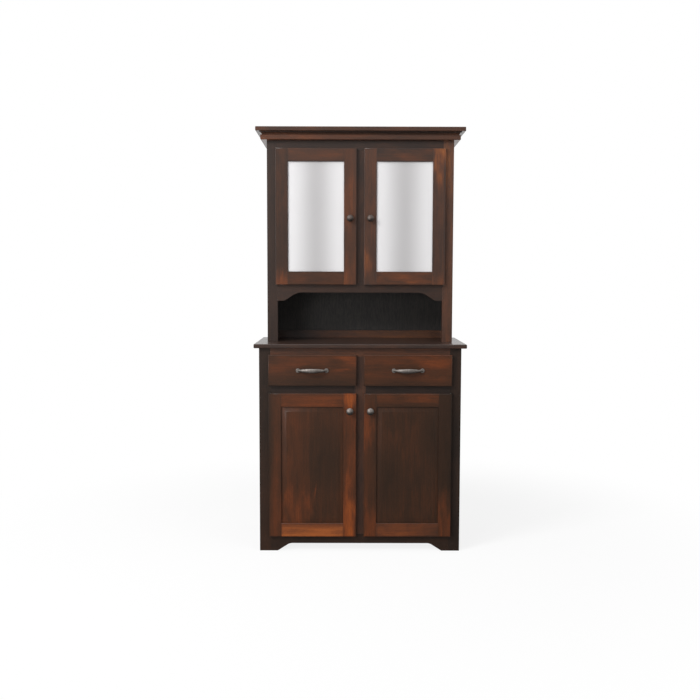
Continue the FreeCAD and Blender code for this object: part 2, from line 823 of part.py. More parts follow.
def crown_section():
    """The moulding's section: projection along X and height along Z, from its inner lower corner."""
    top = bead_height + cove_radius + crown_lip
    nose = bead_radius * (1 - math.sqrt(0.5))
    hollow = cove_radius * (1 - math.sqrt(0.5))
    lip = cove_start + cove_radius
    corners = [
        Vector(0, 0, 0),
        Vector(bead_projection - bead_radius, 0, 0),
        Vector(bead_projection, 0, bead_radius),
        Vector(bead_projection, 0, bead_height - bead_radius),
        Vector(bead_projection - bead_radius, 0, bead_height),
        Vector(cove_start, 0, bead_height),
        Vector(lip, 0, bead_height + cove_radius),
        Vector(lip, 0, top),
        Vector(0, 0, top),
    ]
    low_nose = Vector(bead_projection - nose, 0, nose)
    high_nose = Vector(bead_projection - nose, 0, bead_height - nose)
    cove = Vector(cove_start + hollow, 0, bead_height + cove_radius - hollow)
    bends = {1: low_nose, 3: high_nose, 5: cove}
    edges = []
    for index, start in enumerate(corners):
        end = corners[(index + 1) % len(corners)]
        if (end - start).Length < 1e-6:
            continue
        if index in bends:
            edges.append(Part.Arc(start, bends[index], end).toShape())
        else:
            edges.append(Part.LineSegment(start, end).toShape())
    return Part.Face(Part.Wire(edges)), lip, top


def crown(parts):
    """The crown: a moulding with mitred returns under an overhanging slab."""
    section, lip, height = crown_section()
    low_z = slab_z - height
    reach = hutch_half + lip

    side_face = section.copy()
    side_face.translate(Vector(hutch_half, hutch_face_y - lip, low_z))
    right_return = side_face.extrude(Vector(0, back_y - hutch_face_y + lip, 0))

    front_face = section.copy()
    front_face.rotate(Vector(0, 0, 0), Vector(0, 0, 1), -90)
    front_face.translate(Vector(-reach, hutch_face_y, low_z))
    front = front_face.extrude(Vector(2 * reach, 0, 0))

    spare = lip + 1
    mitre = [
        Vector(-hutch_half, hutch_face_y, 0),
        Vector(hutch_half, hutch_face_y, 0),
        Vector(hutch_half + spare, hutch_face_y - spare, 0),
        Vector(-hutch_half - spare, hutch_face_y - spare, 0),
    ]
    wedge = Part.Face(Part.makePolygon(mitre + mitre[:1])).extrude(Vector(0, 0, top_z))
    returns = both([mirrored(right_return.cut(wedge))])
    parts["crown_moulding"] = [front.common(wedge)] + returns

    slab_half = hutch_half + slab_overhang
    slab = block(-slab_half, slab_half, hutch_face_y - slab_overhang, back_y, slab_z, top_z)
    parts["crown_slab"] = [eased_top(slab, slab_radius)]


def dresser():
    """Every node of the dresser: its name and its solids."""
    parts = {}
    pins = base_cabinet(parts)
    base_doors(parts)
    drawer(parts)
    pins += hutch_cabinet(parts)
    hutch_doors(parts)
    door_fittings(parts)
    crown(parts)
    parts["shelf_pins"] = pins
    return parts


def solids_of(shapes):
    """The plain solids inside a list of shapes."""
    found = []
    for shape in shapes:
        found += shape.Solids
    return found


def write_parts(parts):
    """Write one STEP file per node."""
    os.makedirs("parts", exist_ok=True)
    for name, shapes in parts.items():
        solids = solids_of(shapes)
        shape = solids[0] if len(solids) == 1 else Part.makeCompound(solids)
        shape.exportStep(os.path.join("parts", name + ".step"))


write_parts(dresser())
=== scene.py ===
"""Dress a two-piece dresser: a base cabinet with drawers and doors, and a glazed hutch on top.

Every board that shows is sawn, eased and stained here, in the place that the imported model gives
it. The inner boards and the metalwork keep their own meshes and only take a finish.
"""

import json
import logging
import math
from contextlib import contextmanager
from dataclasses import dataclass, field
from enum import Enum
from random import Random
from typing import Callable, Iterable, Iterator, Sequence

import bmesh
import bpy
from mathutils import Euler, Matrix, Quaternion, Vector

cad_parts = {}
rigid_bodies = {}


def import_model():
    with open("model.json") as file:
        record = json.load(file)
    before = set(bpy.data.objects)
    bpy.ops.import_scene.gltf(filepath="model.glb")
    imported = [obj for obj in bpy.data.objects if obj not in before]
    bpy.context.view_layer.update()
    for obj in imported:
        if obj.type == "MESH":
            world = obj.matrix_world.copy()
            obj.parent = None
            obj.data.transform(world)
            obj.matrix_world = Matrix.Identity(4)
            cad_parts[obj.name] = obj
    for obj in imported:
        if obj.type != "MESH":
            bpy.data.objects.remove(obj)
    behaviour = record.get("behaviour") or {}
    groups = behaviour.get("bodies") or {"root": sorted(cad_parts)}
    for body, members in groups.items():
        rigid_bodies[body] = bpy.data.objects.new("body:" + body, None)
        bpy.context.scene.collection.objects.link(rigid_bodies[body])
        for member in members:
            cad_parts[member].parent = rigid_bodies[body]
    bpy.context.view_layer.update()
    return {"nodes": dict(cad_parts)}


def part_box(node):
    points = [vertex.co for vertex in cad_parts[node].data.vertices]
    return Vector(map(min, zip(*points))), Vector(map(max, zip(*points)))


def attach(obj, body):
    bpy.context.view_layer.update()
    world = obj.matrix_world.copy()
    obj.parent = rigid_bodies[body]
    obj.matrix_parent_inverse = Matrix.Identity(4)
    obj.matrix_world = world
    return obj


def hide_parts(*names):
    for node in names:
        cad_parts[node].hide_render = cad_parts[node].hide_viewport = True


LOG = logging.getLogger("dresser")
PATCHES = 3  # the most patches that a stain can have
SEEDS = (1.0, 40.0)  # the range in which each board's name picks its figure
WELD = 1e-6  # corners closer than this are one corner
FACING = 0.9  # a face whose normal has more than this along an axis faces that way

Object = bpy.types.Object
Material = bpy.types.Material
Outputs = bpy.types.NodeOutputs
Socket = bpy.types.NodeSocket
Feed = Socket | float | tuple
Feeds = dict[str | int, Feed]
Range = tuple[float, float]
Triple = tuple[float, float, float]
Colour = tuple[float, float, float, float]
Stops = tuple[tuple[float, Colour], ...]
Test = Callable[[Vector, Vector], bool]

BLACK: Colour = (0.0, 0.0, 0.0, 1.0)
WHITE: Colour = (1.0, 1.0, 1.0, 1.0)


# ---- places ----


class Side(Enum):
    """The left or right half of the dresser, as its nodes and pieces are named."""

    LEFT = "left"
    RIGHT = "right"


class Grain(Enum):
    """The axis that a board's grain runs along."""

    X = 0
    Y = 1
    Z = 2


class Cut(Enum):
    """What a cutter does to a piece: take its shape away, or keep only what lies in it."""

    AWAY = "DIFFERENCE"
    WITHIN = "INTERSECT"


@dataclass(frozen=True)
class Box:
    """An upright box in the shared frame, in metres."""

    low: Vector
    high: Vector

    @staticmethod
    def around(points: Iterable[Vector]) -> "Box":
        """The smallest box that holds all of the points."""
        columns = list(zip(*points))
        return Box(Vector(map(min, columns)), Vector(map(max, columns)))

    @staticmethod
    def of(piece: Object) -> "Box":
        """The box of a piece's own mesh."""
        return Box.around(vertex.co for vertex in piece.data.vertices)

    @property
    def centre(self) -> Vector:
        """The box's middle."""
        return (self.low + self.high) / 2

    @property
    def size(self) -> Vector:
        """The box's lengths along X, Y and Z."""
        return self.high - self.low

    def grown(self, x: float, y: float, z: float) -> "Box":
        """The same box, grown at both ends along each axis."""
        step = Vector((x, y, z))
        return Box(self.low - step, self.high + step)

    def between(self, axis: Grain, low: float, high: float) -> "Box":
        """The same box with new limits along one axis.

        Args:
            axis: The axis whose limits change.
            low: The new lower limit.
            high: The new upper limit.

        Returns:
            The new box.
        """
        new = Box(self.low.copy(), self.high.copy())
        new.low[axis.value] = low
        new.high[axis.value] = high
        return new


def solid_boxes(node: Object) -> list[Box]:
    """The boxes of a node's separate solids, in order from the left and then upwards.

    Args:
        node: The node, as loose triangles.

    Returns:
        One box for each solid.
    """
    mesh = bmesh.new()
    mesh.from_mesh(node.data)
    bmesh.ops.remove_doubles(mesh, verts=mesh.verts, dist=WELD)
    waiting = set(mesh.verts)
    boxes = []
    while waiting:
        reached = [waiting.pop()]
        corners = []
        while reached:
            vertex = reached.pop()
            corners.append(vertex.co.copy())
            linked = {edge.other_vert(vertex) for edge in vertex.link_edges} & waiting
            waiting -= linked
            reached.extend(linked)
        boxes.append(Box.around(corners))
    mesh.free()
    return sorted(boxes, key=lambda box: box.centre.xz.to_tuple(4))


# ---- the bench: adding and shaping meshes ----


class Bench:
    """Adds primitives and shapes them in edit mode, as by hand."""

    near = 1e-5  # places closer than this are the same place

    def take(self, piece: Object) -> None:
        """Select one piece alone and make it the active one.

        Args:
            piece: The piece.
        """
        bpy.ops.object.select_all(action="DESELECT")
        piece.select_set(True)
        bpy.context.view_layer.objects.active = piece

    def block(self, name: str, box: Box) -> Object:
        """Add a square-edged block that fills a box.

        Args:
            name: The piece's name.
            box: Where the block goes.

        Returns:
            The new piece, with its place in its mesh.
        """
        bpy.ops.mesh.primitive_cube_add(size=1.0, location=box.centre)
        piece = bpy.context.object
        piece.name = name
        piece.scale = box.size
        self.take(piece)
        bpy.ops.object.transform_apply(location=True, rotation=True, scale=True)
        return piece

    @contextmanager
    def editing(self, piece: Object, mode: str) -> Iterator[bmesh.types.BMesh]:
        """Hold a piece in edit mode, with nothing selected at the start.

        Args:
            piece: The piece to edit.
            mode: EDGE or FACE.

        Yields:
            The piece's mesh, until edit mode ends with the block.
        """
        self.take(piece)
        bpy.ops.object.mode_set(mode="EDIT")
        bpy.ops.mesh.select_mode(type=mode)
        bpy.ops.mesh.select_all(action="DESELECT")
        try:
            yield bmesh.from_edit_mesh(piece.data)
        finally:
            bpy.ops.object.mode_set(mode="OBJECT")

    def pick_faces(self, piece: Object, mesh: bmesh.types.BMesh, wanted: Test) -> None:
        """Select the faces whose middle and normal pass a test.

        Args:
            piece: The piece, in edit mode.
            mesh: Its mesh.
            wanted: Takes a face's middle and normal and says whether it is selected.
        """
        for face in mesh.faces:
            face.select_set(wanted(face.calc_center_median(), face.normal))
        bmesh.update_edit_mesh(piece.data)

    def bevel(self, radius: float, steps: int) -> None:
        """Bevel the selected edges so far from each, in so many strips."""
        bpy.ops.mesh.bevel(offset=radius, segments=steps, affect="EDGES", clamp_overlap=True)

    def round_over(self, piece: Object, radius: float, steps: int, wanted: Test) -> None:
        """Round the chosen edges.

        Args:
            piece: The piece.
            radius: How far the round reaches from each edge.
            steps: How many strips make the round.
            wanted: Takes an edge's two ends and says whether it is rounded.
        """
        with self.editing(piece, "EDGE") as mesh:
            for edge in mesh.edges:
                edge.select_set(wanted(edge.verts[0].co, edge.verts[1].co))
            bmesh.update_edit_mesh(piece.data)
            self.bevel(radius, steps)

    def ease(self, piece: Object, radius: float, sharper_than: float = 50.0) -> None:
        """Take the sharp arris off every edge that is still square.

        Args:
            piece: The piece.
            radius: How far the bevel reaches from each edge.
            sharper_than: The smallest turn between faces, in degrees, that counts as sharp.
        """
        with self.editing(piece, "EDGE"):
            bpy.ops.mesh.edges_select_sharp(sharpness=math.radians(sharper_than))
            self.bevel(radius, steps=2)

    def saw(self, piece: Object, shape: Box | Object, cut: Cut = Cut.AWAY) -> None:
        """Cut a piece by a box or by a cutter, which is thrown away.

        Args:
            piece: The piece that is cut.
            shape: The box or the cutter.
            cut: Whether its shape is taken away or kept.
        """
        cutter = self.block("cutter", shape) if isinstance(shape, Box) else shape
        self.take(piece)
        sawing = piece.modifiers.new("saw", "BOOLEAN")
        sawing.object = cutter
        sawing.operation = cut.value
        sawing.solver = "EXACT"
        bpy.ops.object.modifier_apply(modifier=sawing.name)
        self.discard(cutter)

    def copy(self, piece: Object, name: str) -> Object:
        """Copy a piece, with a mesh of its own.

        Args:
            piece: The piece to copy.
            name: The copy's name.

        Returns:
            The copy.
        """
        self.take(piece)
        bpy.ops.object.duplicate(linked=False)
        twin = bpy.context.object
        twin.name = name
        return twin

    def discard(self, piece: Object) -> None:
        """Throw a piece away."""
        bpy.data.objects.remove(piece, do_unlink=True)

    def settle(self, piece: Object, angle: float = 60.0) -> None:
        """Shade a piece smooth over its rounds while its flats stay flat.

        Args:
            piece: The piece.
            angle: The turn between faces, in degrees, above which an edge stays sharp.
        """
        self.take(piece)
        bpy.ops.object.shade_smooth_by_angle(angle=math.radians(angle))
        weighting = piece.modifiers.new("flats", "WEIGHTED_NORMAL")
        weighting.keep_sharp = True
        bpy.ops.object.modifier_apply(modifier=weighting.name)
        piece.data.name = piece.name


# ---- boards ----


@dataclass(frozen=True)
class Patch:
    """A place on a board that is lighter, or darker if its strength is below 0: mostly where the
    stain stayed thin or went thicker, and on some boards painted shade and painted light.

    The place is along and across the board, each from -1 at one end to 1 at the other. The patch
    reaches so far along the grain, is that many times narrower across it, and leans across by its
    slant for each metre along.
    """

    along: float = 0.0
    across: float = 0.0
    reach: float = 0.1
    strength: float = 0.0
    narrow: float = 2.6
    slant: float = 0.0


@dataclass(frozen=True)
class Stain:
    """How one board took the stain: from 0, nearly black, to 1, orange brown.

    The border is how much darker a strip along the board's sides and ends is: partly stain that
    gathered there, partly painted shade beside the gaps, grooves and panels. The warmth takes green
    and blue out of the stain, or adds them if it is below 0. The stave is the width of the strips
    that the board is glued up from.
    """

    tone: float
    patches: tuple[Patch, ...] = ()
    stave: float = 1.0
    border: float = 0.0
    warmth: float = 0.0


@dataclass(frozen=True)
class Board:
    """One board: the node and the solid that it stands for, its grain, its stain and its body."""

    name: str
    node: str
    grain: Grain
    stain: Stain
    index: int = 0
    arris: float = 0.0007
    body: str = "cabinet"


def mark_grain(piece: Object, box: Box, board: Board) -> None:
    """Store on a board's mesh where each point lies in the board, and how it took its stain.

    Args:
        piece: The board's piece.
        box: The whole board's box, from which places are measured.
        board: The board.
    """
    stain = board.stain
    others = [axis for axis in range(3) if axis != board.grain.value]
    axes = [board.grain.value] + sorted(others, key=lambda axis: -box.size[axis])
    half = [box.size[axis] / 2 for axis in axes]
    fixed = {
        "board_half": half,
        "board_tone": [stain.tone, Random(piece.name).uniform(*SEEDS), stain.stave],
        # The border darkens a strip along the sides, partly stain and partly painted shade; the
        # warmth is the stain's own hue.
        "board_glaze": [stain.border, stain.warmth, 0.0],
    }
    spare = (Patch(),) * (PATCHES - len(stain.patches))
    for number, patch in enumerate(stain.patches + spare):
        middle = patch.along * half[0], patch.across * half[1]
        fixed[f"patch_place_{number}"] = [*middle, patch.reach]
        fixed[f"patch_shape_{number}"] = [patch.strength, patch.narrow, patch.slant]
    mesh = piece.data
    place = mesh.attributes.new("board_place", "FLOAT_VECTOR", "POINT")
    for vertex in mesh.vertices:
        offset = vertex.co - box.centre
        place.data[vertex.index].vector = [offset[axis] for axis in axes]
    for name, value in fixed.items():
        layer = mesh.attributes.new(name, "FLOAT_VECTOR", "POINT")
        layer.data.foreach_set("vector", value * len(mesh.vertices))


# ---- shader graphs ----


class Graph:
    """A node tree, with short ways to add nodes and join them."""

    def __init__(self, tree: bpy.types.NodeTree) -> None:
        """Hold the tree that nodes are added to."""
        self.tree = tree

    def add(self, kind: str, feeds: Feeds | None = None, **settings: object) -> Outputs:
        """Add a node.

        Args:
            kind: The node's type, without ShaderNode.
            feeds: A value or a socket for each input, by its name or number.
            settings: Properties to set on the node.

        Returns:
            The new node's outputs.
        """
        node = self.tree.nodes.new("ShaderNode" + kind)
        for name, value in settings.items():
            setattr(node, name, value)
        for name, value in (feeds or {}).items():
            if isinstance(value, Socket):
                self.tree.links.new(value, node.inputs[name])
            else:
                node.inputs[name].default_value = value
        return node.outputs

    def math(self, operation: str, *feeds: Feed, clamp: bool = False) -> Socket:
        """A number worked out from others, kept between 0 and 1 if it is clamped."""
        return self.add("Math", dict(enumerate(feeds)), operation=operation, use_clamp=clamp)[0]

    def scaled(self, value: Feed, factor: Feed, start: Feed) -> Socket:
        """A number times a factor, added to a start."""
        return self.math("MULTIPLY_ADD", value, factor, start)

    def swing(self, value: Feed, reach: float, middle: float) -> Socket:
        """A number from 0 to 1, spread as far as the reach about a middle."""
        return self.scaled(value, reach, middle - reach / 2)

    def vector(self, operation: str, *feeds: Feed) -> Socket:
        """A vector worked out from others, or a vector's length."""
        outputs = self.add("VectorMath", dict(enumerate(feeds)), operation=operation)
        return outputs["Value" if operation == "LENGTH" else "Vector"]

    def split(self, vector: Feed) -> Sequence[Socket]:
        """A vector's three parts."""
        return self.add("SeparateXYZ", {0: vector})[:3]

    def join(self, x: Feed, y: Feed, z: Feed) -> Socket:
        """A vector from three parts."""
        return self.add("CombineXYZ", {0: x, 1: y, 2: z})[0]

    def noise(self, place: Socket, size: Feed, detail: float = 2.0, rough: float = 0.5) -> Socket:
        """Smooth noise.

        Args:
            place: Where the noise is read.
            size: How large its features are along each axis.
            detail: How many finer layers it has.
            rough: How strong the finer layers are.

        Returns:
            The noise, from 0 to 1.
        """
        where = self.vector("DIVIDE", place, size)
        feeds = {"Vector": where, "Scale": 1.0, "Detail": detail, "Roughness": rough}
        return self.add("TexNoise", feeds)[0]

    def step(self, value: Feed, low: float, high: float) -> Socket:
        """A smooth step from 0 at low to 1 at high."""
        feeds = {"Value": value, "From Min": low, "From Max": high}
        return self.add("MapRange", feeds, interpolation_type="SMOOTHSTEP")[0]

    def blend(self, share: Feed, first: Feed, second: Feed) -> Socket:
        """A colour between two others."""
        return self.add("Mix", {0: share, 6: first, 7: second}, data_type="RGBA")[2]

    def bump(self, height: Feed, distance: float, strength: float) -> Socket:
        """A normal that follows a height."""
        feeds = {"Height": height, "Distance": distance, "Strength": strength}
        return self.add("Bump", feeds)[0]

    def ramp(self, value: Socket, stops: Stops) -> Socket:
        """A colour read off a ramp.

        Args:
            value: Where the ramp is read, from 0 to 1.
            stops: Places on the ramp and their colours.

        Returns:
            The colour.
        """
        outputs = self.add("ValToRGB", {0: value})
        elements = outputs[0].node.color_ramp.elements
        while len(elements) < len(stops):
            elements.new(1.0)
        for element, (place, colour) in zip(elements, stops):
            element.position = place
            element.color = colour
        return outputs[0]

    def own_place(self) -> Socket:
        """Each point's place, in its own piece's coordinates."""
        return self.add("TexCoord")["Object"]

    def surface(self, feeds: Feeds) -> None:
        """Add the Principled shader with its inputs, and the output."""
        self.add("OutputMaterial", {"Surface": self.add("BsdfPrincipled", feeds)[0]})


class Effect:
    """A shared shader effect, kept as one node group with named inputs and outputs."""

    title = ""
    takes: dict[str, str] = {}
    gives: tuple[str, ...] = ()

    def place(self, graph: Graph, feeds: Feeds) -> Outputs:
        """Put the effect in a graph, built the first time that it is asked for.

        Args:
            graph: The material's graph.
            feeds: A value or a socket for each input.

        Returns:
            The effect's outputs.
        """
        tree = bpy.data.node_groups.get(self.title)
        if not tree:
            tree = bpy.data.node_groups.new(self.title, "ShaderNodeTree")
            for name, kind in self.takes.items():
                tree.interface.new_socket(
                    name=name, in_out="INPUT", socket_type="NodeSocket" + kind
                )
            for name in self.gives:
                tree.interface.new_socket(name=name, in_out="OUTPUT", socket_type="NodeSocketFloat")
            inputs = tree.nodes.new("NodeGroupInput").outputs
            results = tree.nodes.new("NodeGroupOutput").inputs
            for name, socket in zip(self.gives, self.wire(Graph(tree), inputs)):
                tree.links.new(socket, results[name])
        return graph.add("Group", feeds, node_tree=tree)

    def wire(self, graph: Graph, inputs: Outputs) -> tuple[Socket, ...]:
        """Build the effect's nodes.

        Args:
            graph: The group's node tree.
            inputs: The group's input sockets.

        Returns:
            The sockets that feed the outputs, in order.
        """
        raise NotImplementedError


class BoardFigure(Effect):
    """The figure of a board glued up from staves: streaks, rings, clouds and pores."""

    title = "board_figure"
    takes = {"Place": "Vector", "Half Across": "Float", "Seed": "Float", "Stave": "Float"}
    gives = ("Streak", "Fibre", "Rings", "Cloud", "Stave Tone", "Pores")
    streak_size = (0.16, 0.0075, 0.0075)
    fibre_size = (0.045, 0.0013, 0.0013)
    cloud_size = (0.13, 0.036, 0.036)
    pore_size = (0.011, 0.00042, 0.00042)
    cloud_range = (0.28, 0.72)
    pore_range = (0.64, 0.74)
    first_seam = 0.02  # how far the first stave runs short, in staves
    shift_along = 3.1  # how far chance moves the figure along a stave
    shift_across = 0.9
    shift_deep = 0.7
    seed_across = 0.31  # how much of the seed moves the figure across
    seed_phase = 5.3  # and how much of it moves the rings
    pith_away = (0.0, 0.021, 0.034)
    pith_swing = 0.05
    ring_stretch = (0.16, 1.0, 1.0)
    ring_spacing = 0.0085
    ring_wander = 9.0

    def wire(self, graph: Graph, inputs: Outputs) -> tuple[Socket, ...]:
        """Build the figure from noise stretched along the grain, and rings about the pith.

        Args:
            graph: The group's node tree.
            inputs: The group's input sockets.

        Returns:
            The six masks, in the order of their names.
        """
        place, seed = inputs["Place"], inputs["Seed"]
        from_edge = graph.math("ADD", graph.split(place)[1], inputs["Half Across"])
        share = graph.math("DIVIDE", from_edge, inputs["Stave"])
        number = graph.math("FLOOR", graph.math("ADD", share, self.first_seam))
        key = graph.join(number, seed, 0.0)
        chance = graph.add("TexWhiteNoise", {"Vector": key}, noise_dimensions="3D")
        one, two, _ = graph.split(chance["Color"])
        shift = graph.join(
            graph.scaled(one, self.shift_along, seed),
            graph.scaled(two, self.shift_across, graph.math("MULTIPLY", seed, self.seed_across)),
            graph.math("MULTIPLY", one, self.shift_deep),
        )
        where = graph.vector("ADD", place, shift)
        cloud = graph.noise(where, self.cloud_size)
        pores = graph.noise(where, self.pore_size, detail=1.0)
        lean = graph.join(0.0, graph.swing(two, self.pith_swing, 0.0), 0.0)
        pith = graph.vector("ADD", graph.vector("ADD", place, self.pith_away), lean)
        wave = {
            "Vector": graph.vector("MULTIPLY", pith, self.ring_stretch),
            "Scale": math.pi / (10.0 * self.ring_spacing),
            "Distortion": self.ring_wander,
            "Detail": 2.0,
            "Detail Scale": 5.0,
            "Detail Roughness": 0.55,
            "Phase Offset": graph.math("MULTIPLY", seed, self.seed_phase),
        }
        rings = graph.add("TexWave", wave, wave_type="RINGS", rings_direction="X")
        return (
            graph.noise(where, self.streak_size, detail=3.0, rough=0.62),
            graph.noise(where, self.fibre_size, detail=3.0, rough=0.6),
            rings["Fac"],
            graph.step(cloud, *self.cloud_range),
            graph.math("SUBTRACT", chance["Value"], 0.5),
            graph.step(pores, *self.pore_range),
        )


class ArrisWear(Effect):
    """Where a board's edges are rubbed, and a darker strip along its sides: partly stain gathered
    there, partly painted shade.
    """

    title = "arris_wear"
    takes = {"Place": "Vector", "Half": "Vector", "Reach": "Float"}
    gives = ("Wear", "Border")
    ragged_size = (0.018, 0.018, 0.018)
    raggedness = 1.6
    worn_range = (0.3, 0.7)
    border = (0.002, 0.013)
    border_waver = 0.006

    def wire(self, graph: Graph, inputs: Outputs) -> tuple[Socket, ...]:
        """Measure how far each point is from the second nearest face of its board.

        Args:
            graph: The group's node tree.
            inputs: The group's input sockets.

        Returns:
            The worn edges, and the darker strip along the sides, which is partly painted shade.
        """
        gap = graph.vector("SUBTRACT", inputs["Half"], graph.vector("ABSOLUTE", inputs["Place"]))
        first, second, third = graph.split(gap)
        side = graph.math("MINIMUM", first, second)
        further = graph.math("MINIMUM", graph.math("MAXIMUM", first, second), third)
        share = graph.math("DIVIDE", graph.math("MAXIMUM", side, further), inputs["Reach"])
        rough = graph.noise(inputs["Place"], self.ragged_size, detail=3.0, rough=0.6)
        ragged = graph.math("ADD", share, graph.swing(rough, self.raggedness, 0.0))
        wear = graph.math("SUBTRACT", 1.0, ragged, clamp=True)
        # The darker strip along the sides: partly stain gathered there, partly painted shade.
        from_side = graph.scaled(rough, self.border_waver, side)
        return (
            graph.math("MULTIPLY", wear, graph.step(rough, *self.worn_range)),
            graph.math("SUBTRACT", 1.0, graph.step(from_side, *self.border)),
        )


class StainShadePatch(Effect):
    """A cloudy patch along a board that is lighter or darker: uneven stain, and on some boards
    painted shade and painted light.

    Its place holds where its middle is, along and across, and its reach. Its shape holds its
    strength, how many times narrower it is across the grain, and its slant.
    """

    title = "thin_patch"
    takes = {"Place": "Vector", "Patch Place": "Vector", "Patch Shape": "Vector", "Cloud": "Float"}
    gives = ("Glow",)
    cloudiness = 0.6
    fade = (0.15, 1.0)

    def wire(self, graph: Graph, inputs: Outputs) -> tuple[Socket, ...]:
        """Fade from the patch's middle, further along the grain than across it.

        Args:
            graph: The group's node tree.
            inputs: The group's input sockets.

        Returns:
            How much the stain changes at each point.
        """
        along, across, _ = graph.split(inputs["Place"])
        middle_along, middle_across, reach = graph.split(inputs["Patch Place"])
        strength, narrow, slant = graph.split(inputs["Patch Shape"])
        run = graph.math("SUBTRACT", along, middle_along)
        aside = graph.math("SUBTRACT", across, middle_across)
        lean = graph.math("MULTIPLY", run, slant)
        squeezed = graph.math("MULTIPLY", graph.math("SUBTRACT", aside, lean), narrow)
        share = graph.math("DIVIDE", graph.vector("LENGTH", graph.join(run, squeezed, 0.0)), reach)
        ragged = graph.math("ADD", share, graph.swing(inputs["Cloud"], -self.cloudiness, 0.0))
        glow = graph.math("SUBTRACT", 1.0, graph.step(ragged, *self.fade))
        return (graph.math("MULTIPLY", glow, strength),)


class Brushing(Effect):
    """Fine hairlines along one axis, as on brushed or drawn metal."""

    title = "brushing"
    takes = {"Place": "Vector", "Length": "Float", "Width": "Float"}
    gives = ("Line", "Smudge")
    smudge_size = (0.011, 0.011, 0.011)

    def wire(self, graph: Graph, inputs: Outputs) -> tuple[Socket, ...]:
        """Stretch noise along X for the hairlines, and add broad smudges.

        Args:
            graph: The group's node tree.
            inputs: The group's input sockets.

        Returns:
            The hairlines and the smudges.
        """
        place = inputs["Place"]
        size = graph.join(inputs["Length"], inputs["Width"], inputs["Width"])
        return graph.noise(place, size, rough=0.6), graph.noise(place, self.smudge_size)


# ---- finishes ----


def new_material(name: str) -> tuple[Material, Graph]:
    """A material with an empty node tree.

    Args:
        name: The material's name.

    Returns:
        The material and its graph.
    """
    material = bpy.data.materials.new(name)
    material.use_nodes = True
    material.node_tree.nodes.clear()
    return material, Graph(material.node_tree)


DARK_STAIN: Stops = (
    (0.00, (0.0100, 0.0086, 0.0079, 1.0)),
    (0.20, (0.0240, 0.0165, 0.0137, 1.0)),
    (0.35, (0.0390, 0.0220, 0.0160, 1.0)),
    (0.50, (0.0680, 0.0290, 0.0168, 1.0)),
    (0.65, (0.1090, 0.0370, 0.0170, 1.0)),
    (0.80, (0.1760, 0.0530, 0.0175, 1.0)),
    (1.00, (0.3000, 0.0880, 0.0225, 1.0)),
)
PLYWOOD_STAIN: Stops = (
    (0.00, (0.0270, 0.0262, 0.0256, 1.0)),
    (0.50, (0.0430, 0.0405, 0.0390, 1.0)),
    (1.00, (0.0640, 0.0560, 0.0510, 1.0)),
)
CLEAR_MAPLE: Stops = (
    (0.00, (0.2900, 0.1600, 0.0720, 1.0)),
    (0.50, (0.4900, 0.3200, 0.1700, 1.0)),
    (1.00, (0.6200, 0.4500, 0.2700, 1.0)),
)
TURNS = {
    Grain.X: (0.0, 0.0, 0.0),
    Grain.Y: (0.0, 0.0, -math.pi / 2),
    Grain.Z: (0.0, math.pi / 2, 0.0),
}


@dataclass(frozen=True)
class BoardFeeds:
    """What a wood finish is told of the board that it lies on, as values or sockets."""

    place: Socket
    half: Feed
    tone: Feed
    seed: Feed
    stave: Feed
    patches: tuple[tuple[Socket, Socket], ...] = ()
    border: Feed = 0.0
    warmth: Feed = 0.0


